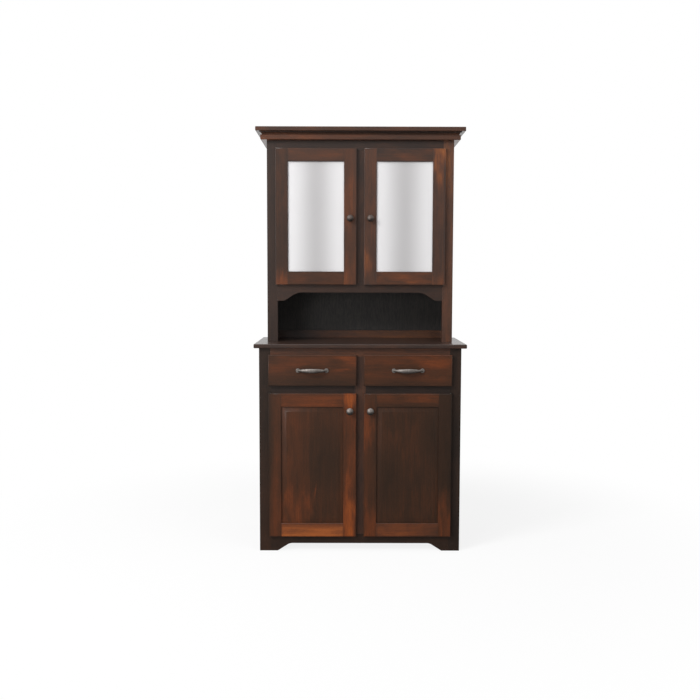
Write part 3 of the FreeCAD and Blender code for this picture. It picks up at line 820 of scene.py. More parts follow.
@dataclass(frozen=True)
class Wood:
    """Maple under lacquer, stained dark or left clear.

    The streak, fibre, rings, cloud, stave and wear are how far each moves the stain on its
    colours. They show more where the stain is thin: the liveliness is their slope and their
    start. The warm green and blue are how much of each a warmth of 1 takes out.
    """

    name: str
    stops: Stops = DARK_STAIN
    streak: float = 0.30
    fibre: float = 0.18
    rings: float = 0.07
    cloud: float = 0.18
    stave: float = 0.16
    wear: float = 0.13
    wear_reach: float = 0.0014
    liveliness: Range = (0.8, 0.4)
    warm_green: float = 0.20
    warm_blue: float = 0.42
    pore_depth: float = 0.40
    roughness: float = 0.42
    roughness_swing: float = 0.16
    worn_roughness: float = 0.12
    specular: float = 0.18
    coat: float = 0.45
    coat_roughness: float = 0.17
    pore_sink: float = 0.6
    relief: float = 0.00010
    beyond_edges: Triple = (10.0, 10.0, 10.0)

    def dress(self, graph: Graph, board: BoardFeeds) -> None:
        """Build the finish on a graph.

        Args:
            graph: The material's graph.
            board: The board that the finish lies on.
        """
        across = graph.split(board.half)[1]
        figure = BoardFigure().place(
            graph,
            {"Place": board.place, "Half Across": across, "Seed": board.seed, "Stave": board.stave},
        )
        edges = ArrisWear().place(
            graph, {"Place": board.place, "Half": board.half, "Reach": self.wear_reach}
        )
        colour = graph.ramp(self.stain_depth(graph, board, figure, edges), self.stops)
        green = graph.scaled(board.warmth, -self.warm_green, 1.0)
        blue = graph.scaled(board.warmth, -self.warm_blue, 1.0)
        warm = graph.vector("MULTIPLY", colour, graph.join(1.0, green, blue))
        pores = graph.math("MULTIPLY", figure["Pores"], self.pore_depth)
        gloss = graph.swing(figure["Fibre"], self.roughness_swing, self.roughness)
        height = graph.scaled(figure["Pores"], -self.pore_sink, figure["Fibre"])
        feeds = {
            "Base Color": graph.blend(pores, warm, BLACK),
            "Roughness": graph.scaled(edges["Wear"], self.worn_roughness, gloss),
            "Specular IOR Level": self.specular,
            "Normal": graph.bump(height, self.relief, strength=0.6),
            "Coat Weight": self.coat,
            "Coat Roughness": self.coat_roughness,
        }
        graph.surface(feeds)

    def stain_depth(
        self, graph: Graph, board: BoardFeeds, figure: Outputs, edges: Outputs
    ) -> Socket:
        """Where on the finish's colours each point lies.

        Args:
            graph: The material's graph.
            board: The board that the finish lies on.
            figure: The board figure's outputs.
            edges: The arris wear's outputs.

        Returns:
            The place on the colours, from 0 to 1.
        """
        # The darker strip along the sides and ends is partly stain gathered there, partly painted
        # shade.
        depth = graph.scaled(edges["Border"], board.border, board.tone)
        for place, shape in board.patches:
            feeds = {"Place": board.place, "Patch Place": place, "Patch Shape": shape}
            feeds["Cloud"] = figure["Cloud"]
            depth = graph.math("ADD", depth, StainShadePatch().place(graph, feeds)["Glow"])
        swings = (
            graph.swing(figure["Streak"], self.streak, 0.0),
            graph.swing(figure["Fibre"], self.fibre, 0.0),
            graph.swing(figure["Rings"], self.rings, 0.0),
            graph.swing(figure["Cloud"], self.cloud, 0.0),
            graph.math("MULTIPLY", figure["Stave Tone"], self.stave),
            graph.math("MULTIPLY", edges["Wear"], self.wear),
        )
        lively = graph.scaled(depth, *self.liveliness)
        for swing in swings:
            depth = graph.scaled(swing, lively, depth)
        return depth

    def for_boards(self) -> Material:
        """The finish for sawn boards, which carry their grain and stain on their meshes.

        Returns:
            The material.
        """
        material, graph = new_material(self.name)

        def layer(name: str) -> Socket:
            return graph.add("Attribute", attribute_name=name)["Vector"]

        tone, seed, stave = graph.split(layer("board_tone"))
        border, warmth, _ = graph.split(layer("board_glaze"))
        patches = tuple(
            (layer(f"patch_place_{number}"), layer(f"patch_shape_{number}"))
            for number in range(PATCHES)
        )
        place, half = layer("board_place"), layer("board_half")
        self.dress(graph, BoardFeeds(place, half, tone, seed, stave, patches, border, warmth))
        return material

    def for_node(self, grain: Grain, stain: Stain, seed: float) -> Material:
        """The finish for boards that keep their own meshes, read from their coordinates.

        Args:
            grain: The axis that the grain runs along.
            stain: How the boards took their stain.
            seed: Picks their own figure.

        Returns:
            The material.
        """
        material, graph = new_material(f"{self.name}_{grain.name.lower()}")
        turning = {"Vector": graph.own_place(), "Rotation": TURNS[grain]}
        turned = graph.add("Mapping", turning)[0]
        feeds = BoardFeeds(turned, self.beyond_edges, stain.tone, seed, stain.stave)
        self.dress(graph, feeds)
        return material


@dataclass(frozen=True)
class Metal:
    """Brushed metal, with darker metal in its smudges."""

    name: str
    light: Colour
    dark: Colour
    roughness: float
    roughness_swing: float = 0.2
    line_length: float = 0.02
    line_width: float = 0.0004
    line_share: float = 0.35
    smudge_range: Range = (0.3, 0.75)
    relief: float = 0.00002

    def material(self) -> Material:
        """Build the metal's finish.

        Returns:
            The material.
        """
        material, graph = new_material(self.name)
        place = graph.own_place()
        size = {"Place": place, "Length": self.line_length, "Width": self.line_width}
        line, smudge = Brushing().place(graph, size)[:2]
        cloudy = graph.step(smudge, *self.smudge_range)
        clouds = graph.math("MULTIPLY", cloudy, 1.0 - self.line_share)
        shade = graph.scaled(line, self.line_share, clouds)
        feeds = {
            "Base Color": graph.blend(shade, self.dark, self.light),
            "Metallic": 1.0,
            "Roughness": graph.swing(line, self.roughness_swing, self.roughness),
            "Normal": graph.bump(line, self.relief, strength=0.5),
        }
        graph.surface(feeds)
        return material


@dataclass(frozen=True)
class MouldedPlastic:
    """Brown plastic with a fine moulded texture."""

    name: str = "catch_plastic"
    colour: Colour = (0.020, 0.011, 0.007, 1.0)
    faded: Colour = (0.034, 0.020, 0.013, 1.0)
    grain_size: Triple = (0.0007, 0.0007, 0.0007)
    faded_size: Triple = (0.02, 0.02, 0.02)
    roughness: float = 0.42
    grain_roughness: float = 0.15
    relief: float = 0.00004

    def material(self) -> Material:
        """Build the plastic's finish.

        Returns:
            The material.
        """
        material, graph = new_material(self.name)
        place = graph.own_place()
        texture = graph.noise(place, self.grain_size)
        broad = graph.noise(place, self.faded_size)
        feeds = {
            "Base Color": graph.blend(broad, self.colour, self.faded),
            "Roughness": graph.scaled(texture, self.grain_roughness, self.roughness),
            "Normal": graph.bump(texture, self.relief, strength=0.6),
        }
        graph.surface(feeds)
        return material


@dataclass(frozen=True)
class ObscuredGlass:
    """A pale pane, dimmer down its middle and nearly white at its sides: a painted reflection, set
    in its colour.
    """

    name: str
    middle_x: float
    half_width: float
    edge: Colour = (0.700, 0.690, 0.696, 1.0)
    middle: Colour = (0.455, 0.445, 0.449, 1.0)
    edge_share: float = 0.95
    waver: float = 0.05
    waver_size: Triple = (0.05, 0.05, 0.4)
    ripple_size: Triple = (0.03, 0.03, 0.08)
    ripple_height: float = 0.00004
    roughness: float = 0.30
    ripple_roughness: float = 0.08
    specular: float = 0.35

    def material(self) -> Material:
        """Build the pane's finish.

        Returns:
            The material.
        """
        material, graph = new_material(self.name)
        place = graph.own_place()
        aside = graph.math("SUBTRACT", graph.split(place)[0], self.middle_x)
        share = graph.math("DIVIDE", graph.math("ABSOLUTE", aside), self.half_width)
        waver = graph.swing(graph.noise(place, self.waver_size, detail=1.0), self.waver, 0.0)
        shade = graph.step(graph.math("ADD", waver, share), 0.0, self.edge_share)
        ripple = graph.noise(place, self.ripple_size, detail=1.0)
        feeds = {
            # The dim middle and the white sides are a painted reflection.
            "Base Color": graph.blend(shade, self.middle, self.edge),
            "Roughness": graph.scaled(ripple, self.ripple_roughness, self.roughness),
            "Specular IOR Level": self.specular,
            "Normal": graph.bump(ripple, self.ripple_height, strength=0.2),
        }
        graph.surface(feeds)
        return material


# ---- the shop ----


class Shop:
    """Saws boards in the places that the frame gives, and hands them over dressed."""

    def __init__(self, nodes: dict[str, Object], stained: Material) -> None:
        """Open the shop.

        Args:
            nodes: The frame's nodes by name.
            stained: The finish for sawn boards.
        """
        self.nodes = nodes
        self.bench = Bench()
        self.stained = stained
        self.made = 0

    def whole(self, node: str) -> Box:
        """The box of a whole node."""
        low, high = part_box(node)
        return Box(Vector(low), Vector(high))

    def plain(self, board: Board) -> tuple[Object, Box]:
        """Saw a board to the box of its solid, with its edges still square.

        Args:
            board: The board.

        Returns:
            The piece and its box.
        """
        box = solid_boxes(self.nodes[board.node])[board.index]
        return self.bench.block(board.name, box), box

    def hand_over(self, piece: Object, board: Board) -> None:
        """Take a board's arrises off, stain it, and stand it for its node.

        Args:
            piece: The board's piece.
            board: The board.
        """
        box = Box.of(piece)
        self.bench.ease(piece, board.arris)
        mark_grain(piece, box, board)
        self.finish(piece, self.stained, "stained_maple", board.body, board.node)

    def finish(self, piece: Object, material: Material, slot: str, body: str, node: str) -> None:
        """Shade a piece, give it its material and stand it for its node.

        Args:
            piece: The piece.
            material: Its finish.
            slot: Not used.
            body: The body that it rides on.
            node: The node that it stands for.
        """
        self.bench.settle(piece)
        piece.data.materials.clear()
        piece.data.materials.append(material)
        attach(piece, body)
        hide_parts(node)
        self.made += 1
        LOG.info("%s stands for %s on %s", piece.name, node, body)

    def hinge_stile(self, board: Board, spare: float = 0.002) -> None:
        """Build an outer stile, with a recess for each hinge wing that is let into its face.

        Args:
            board: The stile.
            spare: How far the cutter reaches past the stile.
        """
        piece, box = self.plain(board)
        on_left = box.centre.x < 0
        inner = box.high.x if on_left else box.low.x
        for hinge in solid_boxes(self.nodes["hinge_brackets"]):
            beside = abs(hinge.centre.x - inner) < box.size.x
            if beside and box.low.z < hinge.centre.z < box.high.z:
                ends = (hinge.low.x, inner + spare) if on_left else (inner - spare, hinge.high.x)
                recess = hinge.between(Grain.X, *ends)
                recess.low.y = box.low.y - spare
                self.bench.saw(piece, recess)
        self.hand_over(piece, board)

    def rounded_board(self, board: Board, radius: float, whole_rim: bool) -> None:
        """Build a board whose front edges are rounded.

        Args:
            board: The board.
            radius: The radius of its edges.
            whole_rim: Whether the edges of its ends are rounded too, and its corners left square.
        """
        piece, box = self.plain(board)
        near = self.bench.near

        def front_edge(first: Vector, second: Vector) -> bool:
            return max(first.y, second.y) < box.low.y + near

        def rim_edge(first: Vector, second: Vector) -> bool:
            upright = abs(first.z - second.z) > near
            return not upright and min(first.y, second.y) < box.high.y - near

        if whole_rim:
            self.bench.round_over(piece, radius, steps=5, wanted=rim_edge)
        else:
            self.bench.round_over(piece, radius, steps=4, wanted=front_edge)
        self.hand_over(piece, board)


@dataclass(frozen=True)
class Brackets:
    """The shaped lower edge of a rail whose two ends drop to brackets.

    Each end is flat at its foot, and from there the edge slopes up, by its run and its lift, to
    the arch between them.
    """

    flat: float
    run: float
    lift: float
    arch_radius: float
    toe_radius: float = 0.0
    steps: int = 10
    spare: float = 0.02

    def cut(self, bench: Bench, piece: Object, box: Box) -> None:
        """Saw the shape out of a rail.

        Args:
            bench: The bench.
            piece: The rail, still a square board.
            box: The rail's box.
        """
        arch = box.grown(-self.flat, self.spare, 0.0)
        top = box.low.z + self.lift
        waste = bench.block("waste", arch.between(Grain.Z, box.low.z, top))
        share = 1.0 - 2 * self.run / arch.size.x
        with bench.editing(waste, "FACE") as mesh:
            bench.pick_faces(waste, mesh, lambda middle, normal: normal.z > FACING)
            bpy.ops.transform.resize(
                value=(share, 1.0, 1.0), center_override=(box.centre.x, box.centre.y, top)
            )
        with bench.editing(waste, "FACE") as mesh:
            bench.pick_faces(waste, mesh, lambda middle, normal: normal.z < -FACING)
            bpy.ops.mesh.extrude_region_move(
                TRANSFORM_OT_translate={"value": (0.0, 0.0, -self.spare)}
            )
        bench.saw(piece, waste)
        self.round_corners(bench, piece, box, self.flat + self.run, top, self.arch_radius)
        if self.toe_radius:
            self.round_corners(bench, piece, box, self.flat, box.low.z, self.toe_radius)

    def round_corners(
        self, bench: Bench, piece: Object, box: Box, inset: float, height: float, radius: float
    ) -> None:
        """Round the two corners that stand at one height, each at the same inset.

        Args:
            bench: The bench.
            piece: The rail.
            box: The rail's box.
            inset: How far in from the rail's ends the corners stand.
            height: Their height in the frame.
            radius: The radius of the round.
        """
        setback = radius * math.tan(math.atan2(self.lift, self.run) / 2)
        half = box.size.x / 2

        def at_corner(first: Vector, second: Vector) -> bool:
            runs_through = abs(first.y - second.y) > bench.near
            from_end = half - abs(first.x - box.centre.x)
            at_height = abs(first.z - height) < bench.near
            return runs_through and at_height and abs(from_end - inset) < bench.near

        bench.round_over(piece, setback, self.steps, at_corner)


# ---- carcasses ----


@dataclass
class Carcass:
    """The outer boards of a cabinet: plain ones, hinge stiles, and a rail with brackets."""

    shop: Shop
    boards: tuple[Board, ...]
    stiles: tuple[Board, ...]
    rail: Board
    brackets: Brackets

    def build(self) -> None:
        """Build every outer board."""
        for board in self.boards:
            self.shop.hand_over(self.shop.plain(board)[0], board)
        for board in self.stiles:
            self.shop.hinge_stile(board)
        piece, box = self.shop.plain(self.rail)
        self.brackets.cut(self.shop.bench, piece, box)
        self.shop.hand_over(piece, self.rail)


@dataclass
class BaseCabinet(Carcass):
    """The base: sides, face frame with bracket feet, and the counter."""

    boards: tuple[Board, ...] = (
        Board("base_side_left", "base_sides", Grain.Z, Stain(0.36, stave=0.085), 0),
        Board("base_side_right", "base_sides", Grain.Z, Stain(0.34, stave=0.085), 1),
        # The middle stile's and the upper rail's lighter tones are painted light: the stile stands
        # back between the doors and the rail lies under the counter's overhang.
        Board("base_middle_stile", "base_centre_stile", Grain.Z, Stain(0.44, warmth=-0.5)),
        Board("base_upper_rail", "base_top_rail", Grain.X, Stain(0.56, warmth=-0.6)),
        Board("base_mid_rail_left", "base_mid_rails", Grain.X, Stain(0.24), 0),
        Board("base_mid_rail_right", "base_mid_rails", Grain.X, Stain(0.24), 1),
    )
    stiles: tuple[Board, ...] = (
        Board("base_outer_stile_left", "base_outer_stiles", Grain.Z,
              Stain(0.27, (Patch(0.5, 0.0, 0.40, -0.12, 4.0),), warmth=0.7), 0, 0.0005),
        Board("base_outer_stile_right", "base_outer_stiles", Grain.Z,
              Stain(0.21, (Patch(0.7, 0.0, 0.40, 0.07, 4.0),), warmth=0.5), 1, 0.0005),
    )
    rail: Board = Board("base_bracket_rail", "base_bottom_rail", Grain.X, Stain(0.29, warmth=0.6))
    brackets: Brackets = Brackets(flat=0.031, run=0.055, lift=0.0349, arch_radius=0.040)
    counter: Board = Board("counter", "counter_top", Grain.X, Stain(0.36, stave=0.09, warmth=-0.5))
    counter_radius: float = 0.004

    def build(self) -> None:
        """Build the outer boards and the counter."""
        super().build()
        self.shop.rounded_board(self.counter, self.counter_radius, whole_rim=True)


@dataclass
class HutchCabinet(Carcass):
    """The hutch: sides, face frame, and the low rail at the back of its niche."""

    boards: tuple[Board, ...] = (
        Board("hutch_side_left", "hutch_sides", Grain.Z, Stain(0.38, stave=0.09), 0),
        Board("hutch_side_right", "hutch_sides", Grain.Z, Stain(0.42, stave=0.09), 1),
        # The middle stile's lighter tone is painted light where it stands back between the doors.
        Board("hutch_middle_stile", "hutch_centre_stile", Grain.Z, Stain(0.38, warmth=-0.5)),
        Board("hutch_upper_rail", "hutch_top_rail", Grain.X, Stain(0.35, warmth=-0.2)),
        # The niche rail's darker left end is painted shadow of the hutch's left side, and its
        # lighter right part is painted light.
        Board("niche_rail", "hutch_back_rail", Grain.X,
              Stain(0.66, (Patch(-0.95, 0.0, 0.30, -0.30, 1.0), Patch(0.7, 0.0, 0.2, 0.10, 1.0)),
                    warmth=-1.4)),
    )
    stiles: tuple[Board, ...] = (
        Board("hutch_outer_stile_left", "hutch_outer_stiles", Grain.Z, Stain(0.27), 0, 0.0005),
        Board("hutch_outer_stile_right", "hutch_outer_stiles", Grain.Z,
              Stain(0.51, (Patch(0.7, -0.9, 0.30, 0.12, 5.0), Patch(0.55, -0.5, 0.13, 0.16, 3.0)),
                    warmth=-1.0), 1, 0.0005),
    )
    rail: Board = Board("hutch_bracket_rail", "hutch_lower_rail", Grain.X, Stain(0.38, warmth=-0.2))
    brackets: Brackets = Brackets(
        flat=0.033, run=0.056, lift=0.0381, arch_radius=0.070, toe_radius=0.030
    )


# ---- doors ----


@dataclass(frozen=True)
class DoorStains:
    """How the boards of one door took their stain."""

    left_stile: Stain
    right_stile: Stain
    top_rail: Stain
    bottom_rail: Stain
    panel: Stain | None = None


# A long, narrow patch below 0 along a board's edge darkens it beside the gaps and the panel: partly
# stain gathered there, partly painted shade.
BASE_DOOR_STAINS = {
    Side.LEFT: DoorStains(
        left_stile=Stain(
            0.49, (Patch(0.2, -1.0, 0.60, -0.18, 18.0), Patch(-0.65, 0.5, 0.26, 0.12, 4.0)),
            border=-0.07, warmth=1.0),
        right_stile=Stain(
            0.61, (Patch(0.97, 0.2, 0.09, 0.24, 1.2), Patch(-0.75, -0.8, 0.26, 0.24, 3.4),
                   Patch(0.35, -0.9, 0.22, -0.10, 6.0)),
            border=-0.07, warmth=1.0),
        top_rail=Stain(
            0.63, (Patch(0.2, -0.2, 0.12, 0.05), Patch(0.0, 1.0, 0.5, -0.09, 22.0)),
            border=-0.06, warmth=1.0),
        bottom_rail=Stain(
            0.88, (Patch(0.0, 1.0, 0.5, -0.21, 20.0), Patch(-0.1, -0.9, 0.5, 0.11, 16.0)),
            border=-0.08, warmth=0.3),
        panel=Stain(
            0.445, (Patch(-0.75, -0.5, 0.15, 0.13, 1.6), Patch(0.1, 0.35, 0.22, -0.11, 1.7),
                    Patch(-0.40, 0.10, 0.050, 0.26, 11.0, 0.12)),
            stave=0.14, border=-0.10, warmth=1.0),
    ),
    Side.RIGHT: DoorStains(
        left_stile=Stain(
            0.47, (Patch(0.48, -0.95, 0.14, 0.18, 3.0), Patch(0.1, 1.0, 0.60, -0.10, 9.0),
                   Patch(-0.85, 0.0, 0.15, 0.17, 1.8)),
            border=-0.06, warmth=1.0),
        right_stile=Stain(
            0.30, (Patch(-0.85, 0.3, 0.20, 0.30, 1.8), Patch(0.1, 1.0, 0.60, -0.10, 8.0)),
            border=-0.05, warmth=1.0),
        top_rail=Stain(
            0.48, (Patch(0.5, 0.8, 0.14, 0.12, 3.6), Patch(0.2, -1.0, 0.5, -0.12, 16.0)),
            border=-0.06, warmth=1.0),
        bottom_rail=Stain(
            0.58, (Patch(-0.3, 0.1, 0.20, 0.12, 3.0), Patch(0.85, -0.9, 0.14, -0.12)),
            border=-0.08, warmth=0.4),
        panel=Stain(
            0.34, (Patch(-0.25, -0.55, 0.20, -0.10, 2.2), Patch(0.5, 0.8, 0.18, -0.10, 2.4)),
            stave=0.14, border=-0.08, warmth=1.0),
    ),
}
# A long, narrow patch below 0 along a rail's edge darkens it beside the pane: partly stain gathered
# there, partly painted shade.
HUTCH_DOOR_STAINS = {
    Side.LEFT: DoorStains(
        left_stile=Stain(
            0.41, (Patch(-0.97, 0.5, 0.09, 0.26, 1.4), Patch(-0.4, 0.3, 0.14, -0.06, 2.0)),
            border=-0.07, warmth=0.4),
        right_stile=Stain(
            0.49, (Patch(-0.97, -0.6, 0.06, 0.22, 1.8), Patch(0.2, -0.2, 0.18, 0.09, 2.4)),
            border=-0.08),
        top_rail=Stain(
            0.46, (Patch(0.3, 0.5, 0.08, 0.05), Patch(0.0, -1.0, 0.5, -0.07, 18.0)),
            border=-0.06),
        bottom_rail=Stain(
            0.41, (Patch(-0.6, -0.2, 0.08, 0.05), Patch(0.0, 1.0, 0.5, -0.05, 18.0)),
            border=-0.07, warmth=0.5),
    ),
    Side.RIGHT: DoorStains(
        left_stile=Stain(
            0.45, (Patch(-0.68, -0.6, 0.09, 0.20, 2.2), Patch(-1.0, 0.6, 0.06, 0.08, 1.6)),
            border=-0.07, warmth=-0.4),
        right_stile=Stain(
            0.45, (Patch(0.95, 0.8, 0.15, 0.36, 2.2), Patch(-1.0, -0.4, 0.08, 0.10, 1.6)),
            border=-0.07, warmth=-0.5),
        top_rail=Stain(
            0.45, (Patch(0.5, 0.2, 0.14, 0.09, 2.6), Patch(-1.0, 0.6, 0.06, -0.10)),
            border=-0.06),
        bottom_rail=Stain(
            0.52, (Patch(0.4, 0.0, 0.08, 0.06), Patch(-0.5, -0.6, 0.14, 0.07)),
            border=-0.07),
    ),
}


@dataclass
class Door:
    """A door's frame of two stiles and two rails, parted from one eased blank."""

    shop: Shop
    group: str
    side: Side
    stains: DoorStains
    stile: float = 0.058
    rail: float = 0.061
    edge_radius: float = 0.0025
    sticking_radius: float = 0.0020
    arris: float = 0.0004
    spare: float = 0.01

    @property
    def body(self) -> str:
        """The door's body, which also begins its nodes' names."""
        return f"{self.group}_door_{self.side.value}"

    def build_frame(self) -> Box:
        """Build the stiles and rails.

        Returns:
            The door's opening, between its stiles and rails and through its thickness.
        """
        bench = self.shop.bench
        outer = self.shop.whole(f"{self.body}_stiles")
        opening = outer.grown(-self.stile, 0.0, -self.rail)
        blank = bench.block("blank", outer)
        bench.saw(blank, opening.grown(0.0, self.spare, 0.0))
        self.ease_front(blank, outer, opening)
        bench.saw(blank, self.groove(outer, opening))

        low, high = opening.low, opening.high
        room = outer.grown(self.spare, self.spare, self.spare)
        middle = room.between(Grain.X, low.x, high.x)
        left = room.between(Grain.X, room.low.x, low.x)
        right = room.between(Grain.X, high.x, room.high.x)
        bottom = middle.between(Grain.Z, room.low.z, low.z)
        top = middle.between(Grain.Z, high.z, room.high.z)
        parts = (
            ("stile_left", "stiles", Grain.Z, self.stains.left_stile, left),
            ("stile_right", "stiles", Grain.Z, self.stains.right_stile, right),
            ("rail_low", "rails", Grain.X, self.stains.bottom_rail, bottom),
            ("rail_high", "rails", Grain.X, self.stains.top_rail, top),
        )
        for name, node, grain, stain, kept in parts:
            piece = bench.copy(blank, f"{self.body}_{name}")
            bench.saw(piece, kept, Cut.WITHIN)
            self.hand_over(piece, node, grain, stain)
        bench.discard(blank)
        return opening

    def hand_over(self, piece: Object, node: str, grain: Grain, stain: Stain) -> None:
        """Hand over one board of the door.

        Args:
            piece: The board's piece.
            node: The end of its node's name.
            grain: The axis that its grain runs along.
            stain: How it took its stain.
        """
        name = f"{self.body}_{node}"
        board = Board(piece.name, name, grain, stain, arris=self.arris, body=self.body)
        self.shop.hand_over(piece, board)

    def ease_front(self, blank: Object, outer: Box, opening: Box) -> None:
        """Round the blank's outer and inner front edges.

        Args:
            blank: The blank.
            outer: The door's box.
            opening: The opening in it.
        """
        bench = self.shop.bench
        near = bench.near
        hole = opening.grown(near, 0.0, near)

        def inside(end: Vector) -> bool:
            return hole.low.x < end.x < hole.high.x and hole.low.z < end.z < hole.high.z

        def outer_edge(first: Vector, second: Vector) -> bool:
            on_front = max(first.y, second.y) < outer.low.y + near
            return on_front and not (inside(first) or inside(second))

        def inner_edge(first: Vector, second: Vector) -> bool:
            on_front = max(first.y, second.y) < outer.low.y + near
            return on_front and inside(first) and inside(second)

        bench.round_over(blank, self.edge_radius, steps=4, wanted=outer_edge)
        bench.round_over(blank, self.sticking_radius, steps=3, wanted=inner_edge)

    def groove(self, outer: Box, opening: Box) -> Box:
        """The groove or rabbet that holds what fills the door's opening.

        Args:
            outer: The door's box.
            opening: The opening in it.

        Returns:
            The box that is cut out of the blank.
        """
        raise NotImplementedError


@dataclass
class PanelledDoor(Door):
    """A base door: its panel floats in grooves, with a field raised on a broad bevel."""

    groove_width: float = 0.00635
    groove_depth: float = 0.0095
    panel_margin: float = 0.003
    panel_bevel: float = 0.020
    panel_raise: float = 0.0036
    panel_easing: float = 0.0009

    def groove(self, outer: Box, opening: Box) -> Box:
        """The groove round the opening, in the middle of the thickness.

        Args:
            outer: The door's box.
            opening: The opening in it.

        Returns:
            The box that is cut out of the blank.
        """
        middle, half = outer.centre.y, self.groove_width / 2
        grown = opening.grown(self.groove_depth, 0.0, self.groove_depth)
        return grown.between(Grain.Y, middle - half, middle + half)

    def build(self) -> None:
        """Build the frame and its panel."""
        opening = self.build_frame()
        bench = self.shop.bench
        box = self.shop.whole(f"{self.body}_panel")
        sheet = box.between(Grain.Y, box.low.y + self.panel_raise, box.high.y)
        panel = bench.block(f"{self.body}_raised_panel", sheet)
        with bench.editing(panel, "FACE") as mesh:
            bench.pick_faces(panel, mesh, lambda middle, normal: normal.y < -FACING)
            margin = opening.low.x - box.low.x + self.panel_margin
            bpy.ops.mesh.inset(thickness=margin, depth=0.0)
            bpy.ops.mesh.inset(thickness=self.panel_bevel, depth=self.panel_raise)

        def on_crest(first: Vector, second: Vector) -> bool:
            return max(first.y, second.y) < box.low.y + bench.near

        bench.round_over(panel, self.panel_easing, steps=2, wanted=on_crest)
        self.hand_over(panel, "panel", Grain.Z, self.stains.panel)


@dataclass
class GlazedDoor(Door):
    """A hutch door: its pane, with ground edges, lies in a rabbet."""

    glass_lip: float = 0.007
    rabbet: float = 0.0095

    def groove(self, outer: Box, opening: Box) -> Box:
        """The rabbet round the back of the opening.

        Args:
            outer: The door's box.
            opening: The opening in it.

        Returns:
            The box that is cut out of the blank.
        """
        grown = opening.grown(self.rabbet, 0.0, self.rabbet)
        return grown.between(Grain.Y, outer.low.y + self.glass_lip, outer.high.y + self.spare)

    def build(self) -> None:
        """Build the frame and its pane."""
        opening = self.build_frame()
        node = f"{self.body}_glass"
        pane = self.shop.bench.block(f"{self.body}_pane", self.shop.whole(node))
        self.shop.bench.ease(pane, self.arris)
        glass = ObscuredGlass(f"pane_{self.side.value}", opening.centre.x, opening.size.x / 2)
        self.shop.finish(pane, glass.material(), "pane", self.body, node)


# ---- drawers and crown ----


# Each front is darker along its lower edge.
DRAWER_STAINS = {
    Side.LEFT: Stain(
        0.46, (Patch(-0.75, 0.4, 0.12, 0.05, 2.0), Patch(0.85, 0.4, 0.10, 0.20, 2.0),
               Patch(0.0, -1.0, 0.60, -0.15, 9.0)),
        stave=0.14, border=-0.06, warmth=1.0),
    Side.RIGHT: Stain(
        0.52, (Patch(0.55, 0.7, 0.13, 0.16, 2.6), Patch(0.55, -0.4, 0.10, 0.10, 2.6),
               Patch(-0.1, -1.0, 0.60, -0.10, 12.0)),
        stave=0.14, border=-0.06, warmth=1.0),
}


@dataclass
class DrawerFront:
    """A drawer's overlaid front board, with its front edges rounded."""

    shop: Shop
    side: Side
    stain: Stain
    edge_radius: float = 0.0025
    arris: float = 0.0004

    def build(self) -> None:
        """Build the front."""
        body = f"drawer_{self.side.value}"
        name, node = f"{body}_front_board", f"{body}_front"
        board = Board(name, node, Grain.X, self.stain, arris=self.arris, body=body)
        self.shop.rounded_board(board, self.edge_radius, whole_rim=False)


@dataclass
class Crown:
    """The crown: a slab with rounded edges over a mitred moulding."""

    shop: Shop
    slab: Board = Board("crown_cap", "crown_slab", Grain.X, Stain(0.47, stave=0.09))
    slab_radius: float = 0.0025
    node: str = "crown_moulding"
    arris: float = 0.0003
    # The dark band along the moulding's top is painted shadow under the slab's overhang and in its
    # cove; the rest is the moulding's stain.
    glaze: Stain = Stain(
        0.56, (Patch(0.0, 1.0, 1.5, -0.25, 115.0), Patch(-0.85, -0.4, 0.22, 0.11, 5.0),
               Patch(0.5, -0.4, 0.24, -0.07, 4.0)))
    flat_turn: float = 0.2  # in degrees; faces that turn less than this are joined

    def build(self) -> None:
        """Build the slab and the three lengths of moulding."""
        self.shop.rounded_board(self.slab, self.slab_radius, whole_rim=True)
        frame_box = self.shop.whole("hutch_outer_stiles")
        left = Vector((frame_box.low.x, frame_box.low.y, 0.0))
        right = Vector((frame_box.high.x, frame_box.low.y, 0.0))
        lengths = (
            ("crown_return_left", Grain.Y, ((left, Vector((-1, 1, 0))),)),
            ("crown_front", Grain.X, ((left, Vector((1, -1, 0))), (right, Vector((-1, -1, 0))))),
            ("crown_return_right", Grain.Y, ((right, Vector((1, 1, 0))),)),
        )
        bench = self.shop.bench
        moulding = bench.copy(self.shop.nodes[self.node], "moulding")
        bpy.ops.object.parent_clear(type="CLEAR_KEEP_TRANSFORM")
        bpy.ops.mesh.customdata_custom_splitnormals_clear()
        for name, grain, ends in lengths:
            piece = bench.copy(moulding, name)
            self.keep_length(piece, ends)
            board = Board(name, self.node, grain, self.glaze, arris=self.arris)
            self.shop.hand_over(piece, board)
        bench.discard(moulding)

    def keep_length(self, piece: Object, ends: Sequence[tuple[Vector, Vector]]) -> None:
        """Keep and weld one of the moulding's three lengths.

        Args:
            piece: A copy of all three, as loose triangles.
            ends: A point on each mitre, and the direction from it in which the length lies.
        """
        bench = self.shop.bench

        def elsewhere(middle: Vector, normal: Vector) -> bool:
            for place, keep in ends:
                past = (middle - place).dot(keep)
                other_mitre = abs(past) < bench.near and normal.dot(keep) > 0
                if past < -bench.near or other_mitre:
                    return True
            return False

        with bench.editing(piece, "FACE") as mesh:
            bench.pick_faces(piece, mesh, elsewhere)
            bpy.ops.mesh.delete(type="FACE")
            bpy.ops.mesh.select_all(action="SELECT")
            bpy.ops.mesh.remove_doubles(threshold=WELD)
            bpy.ops.mesh.dissolve_limited(angle_limit=math.radians(self.flat_turn))


# ---- what keeps its own mesh ----


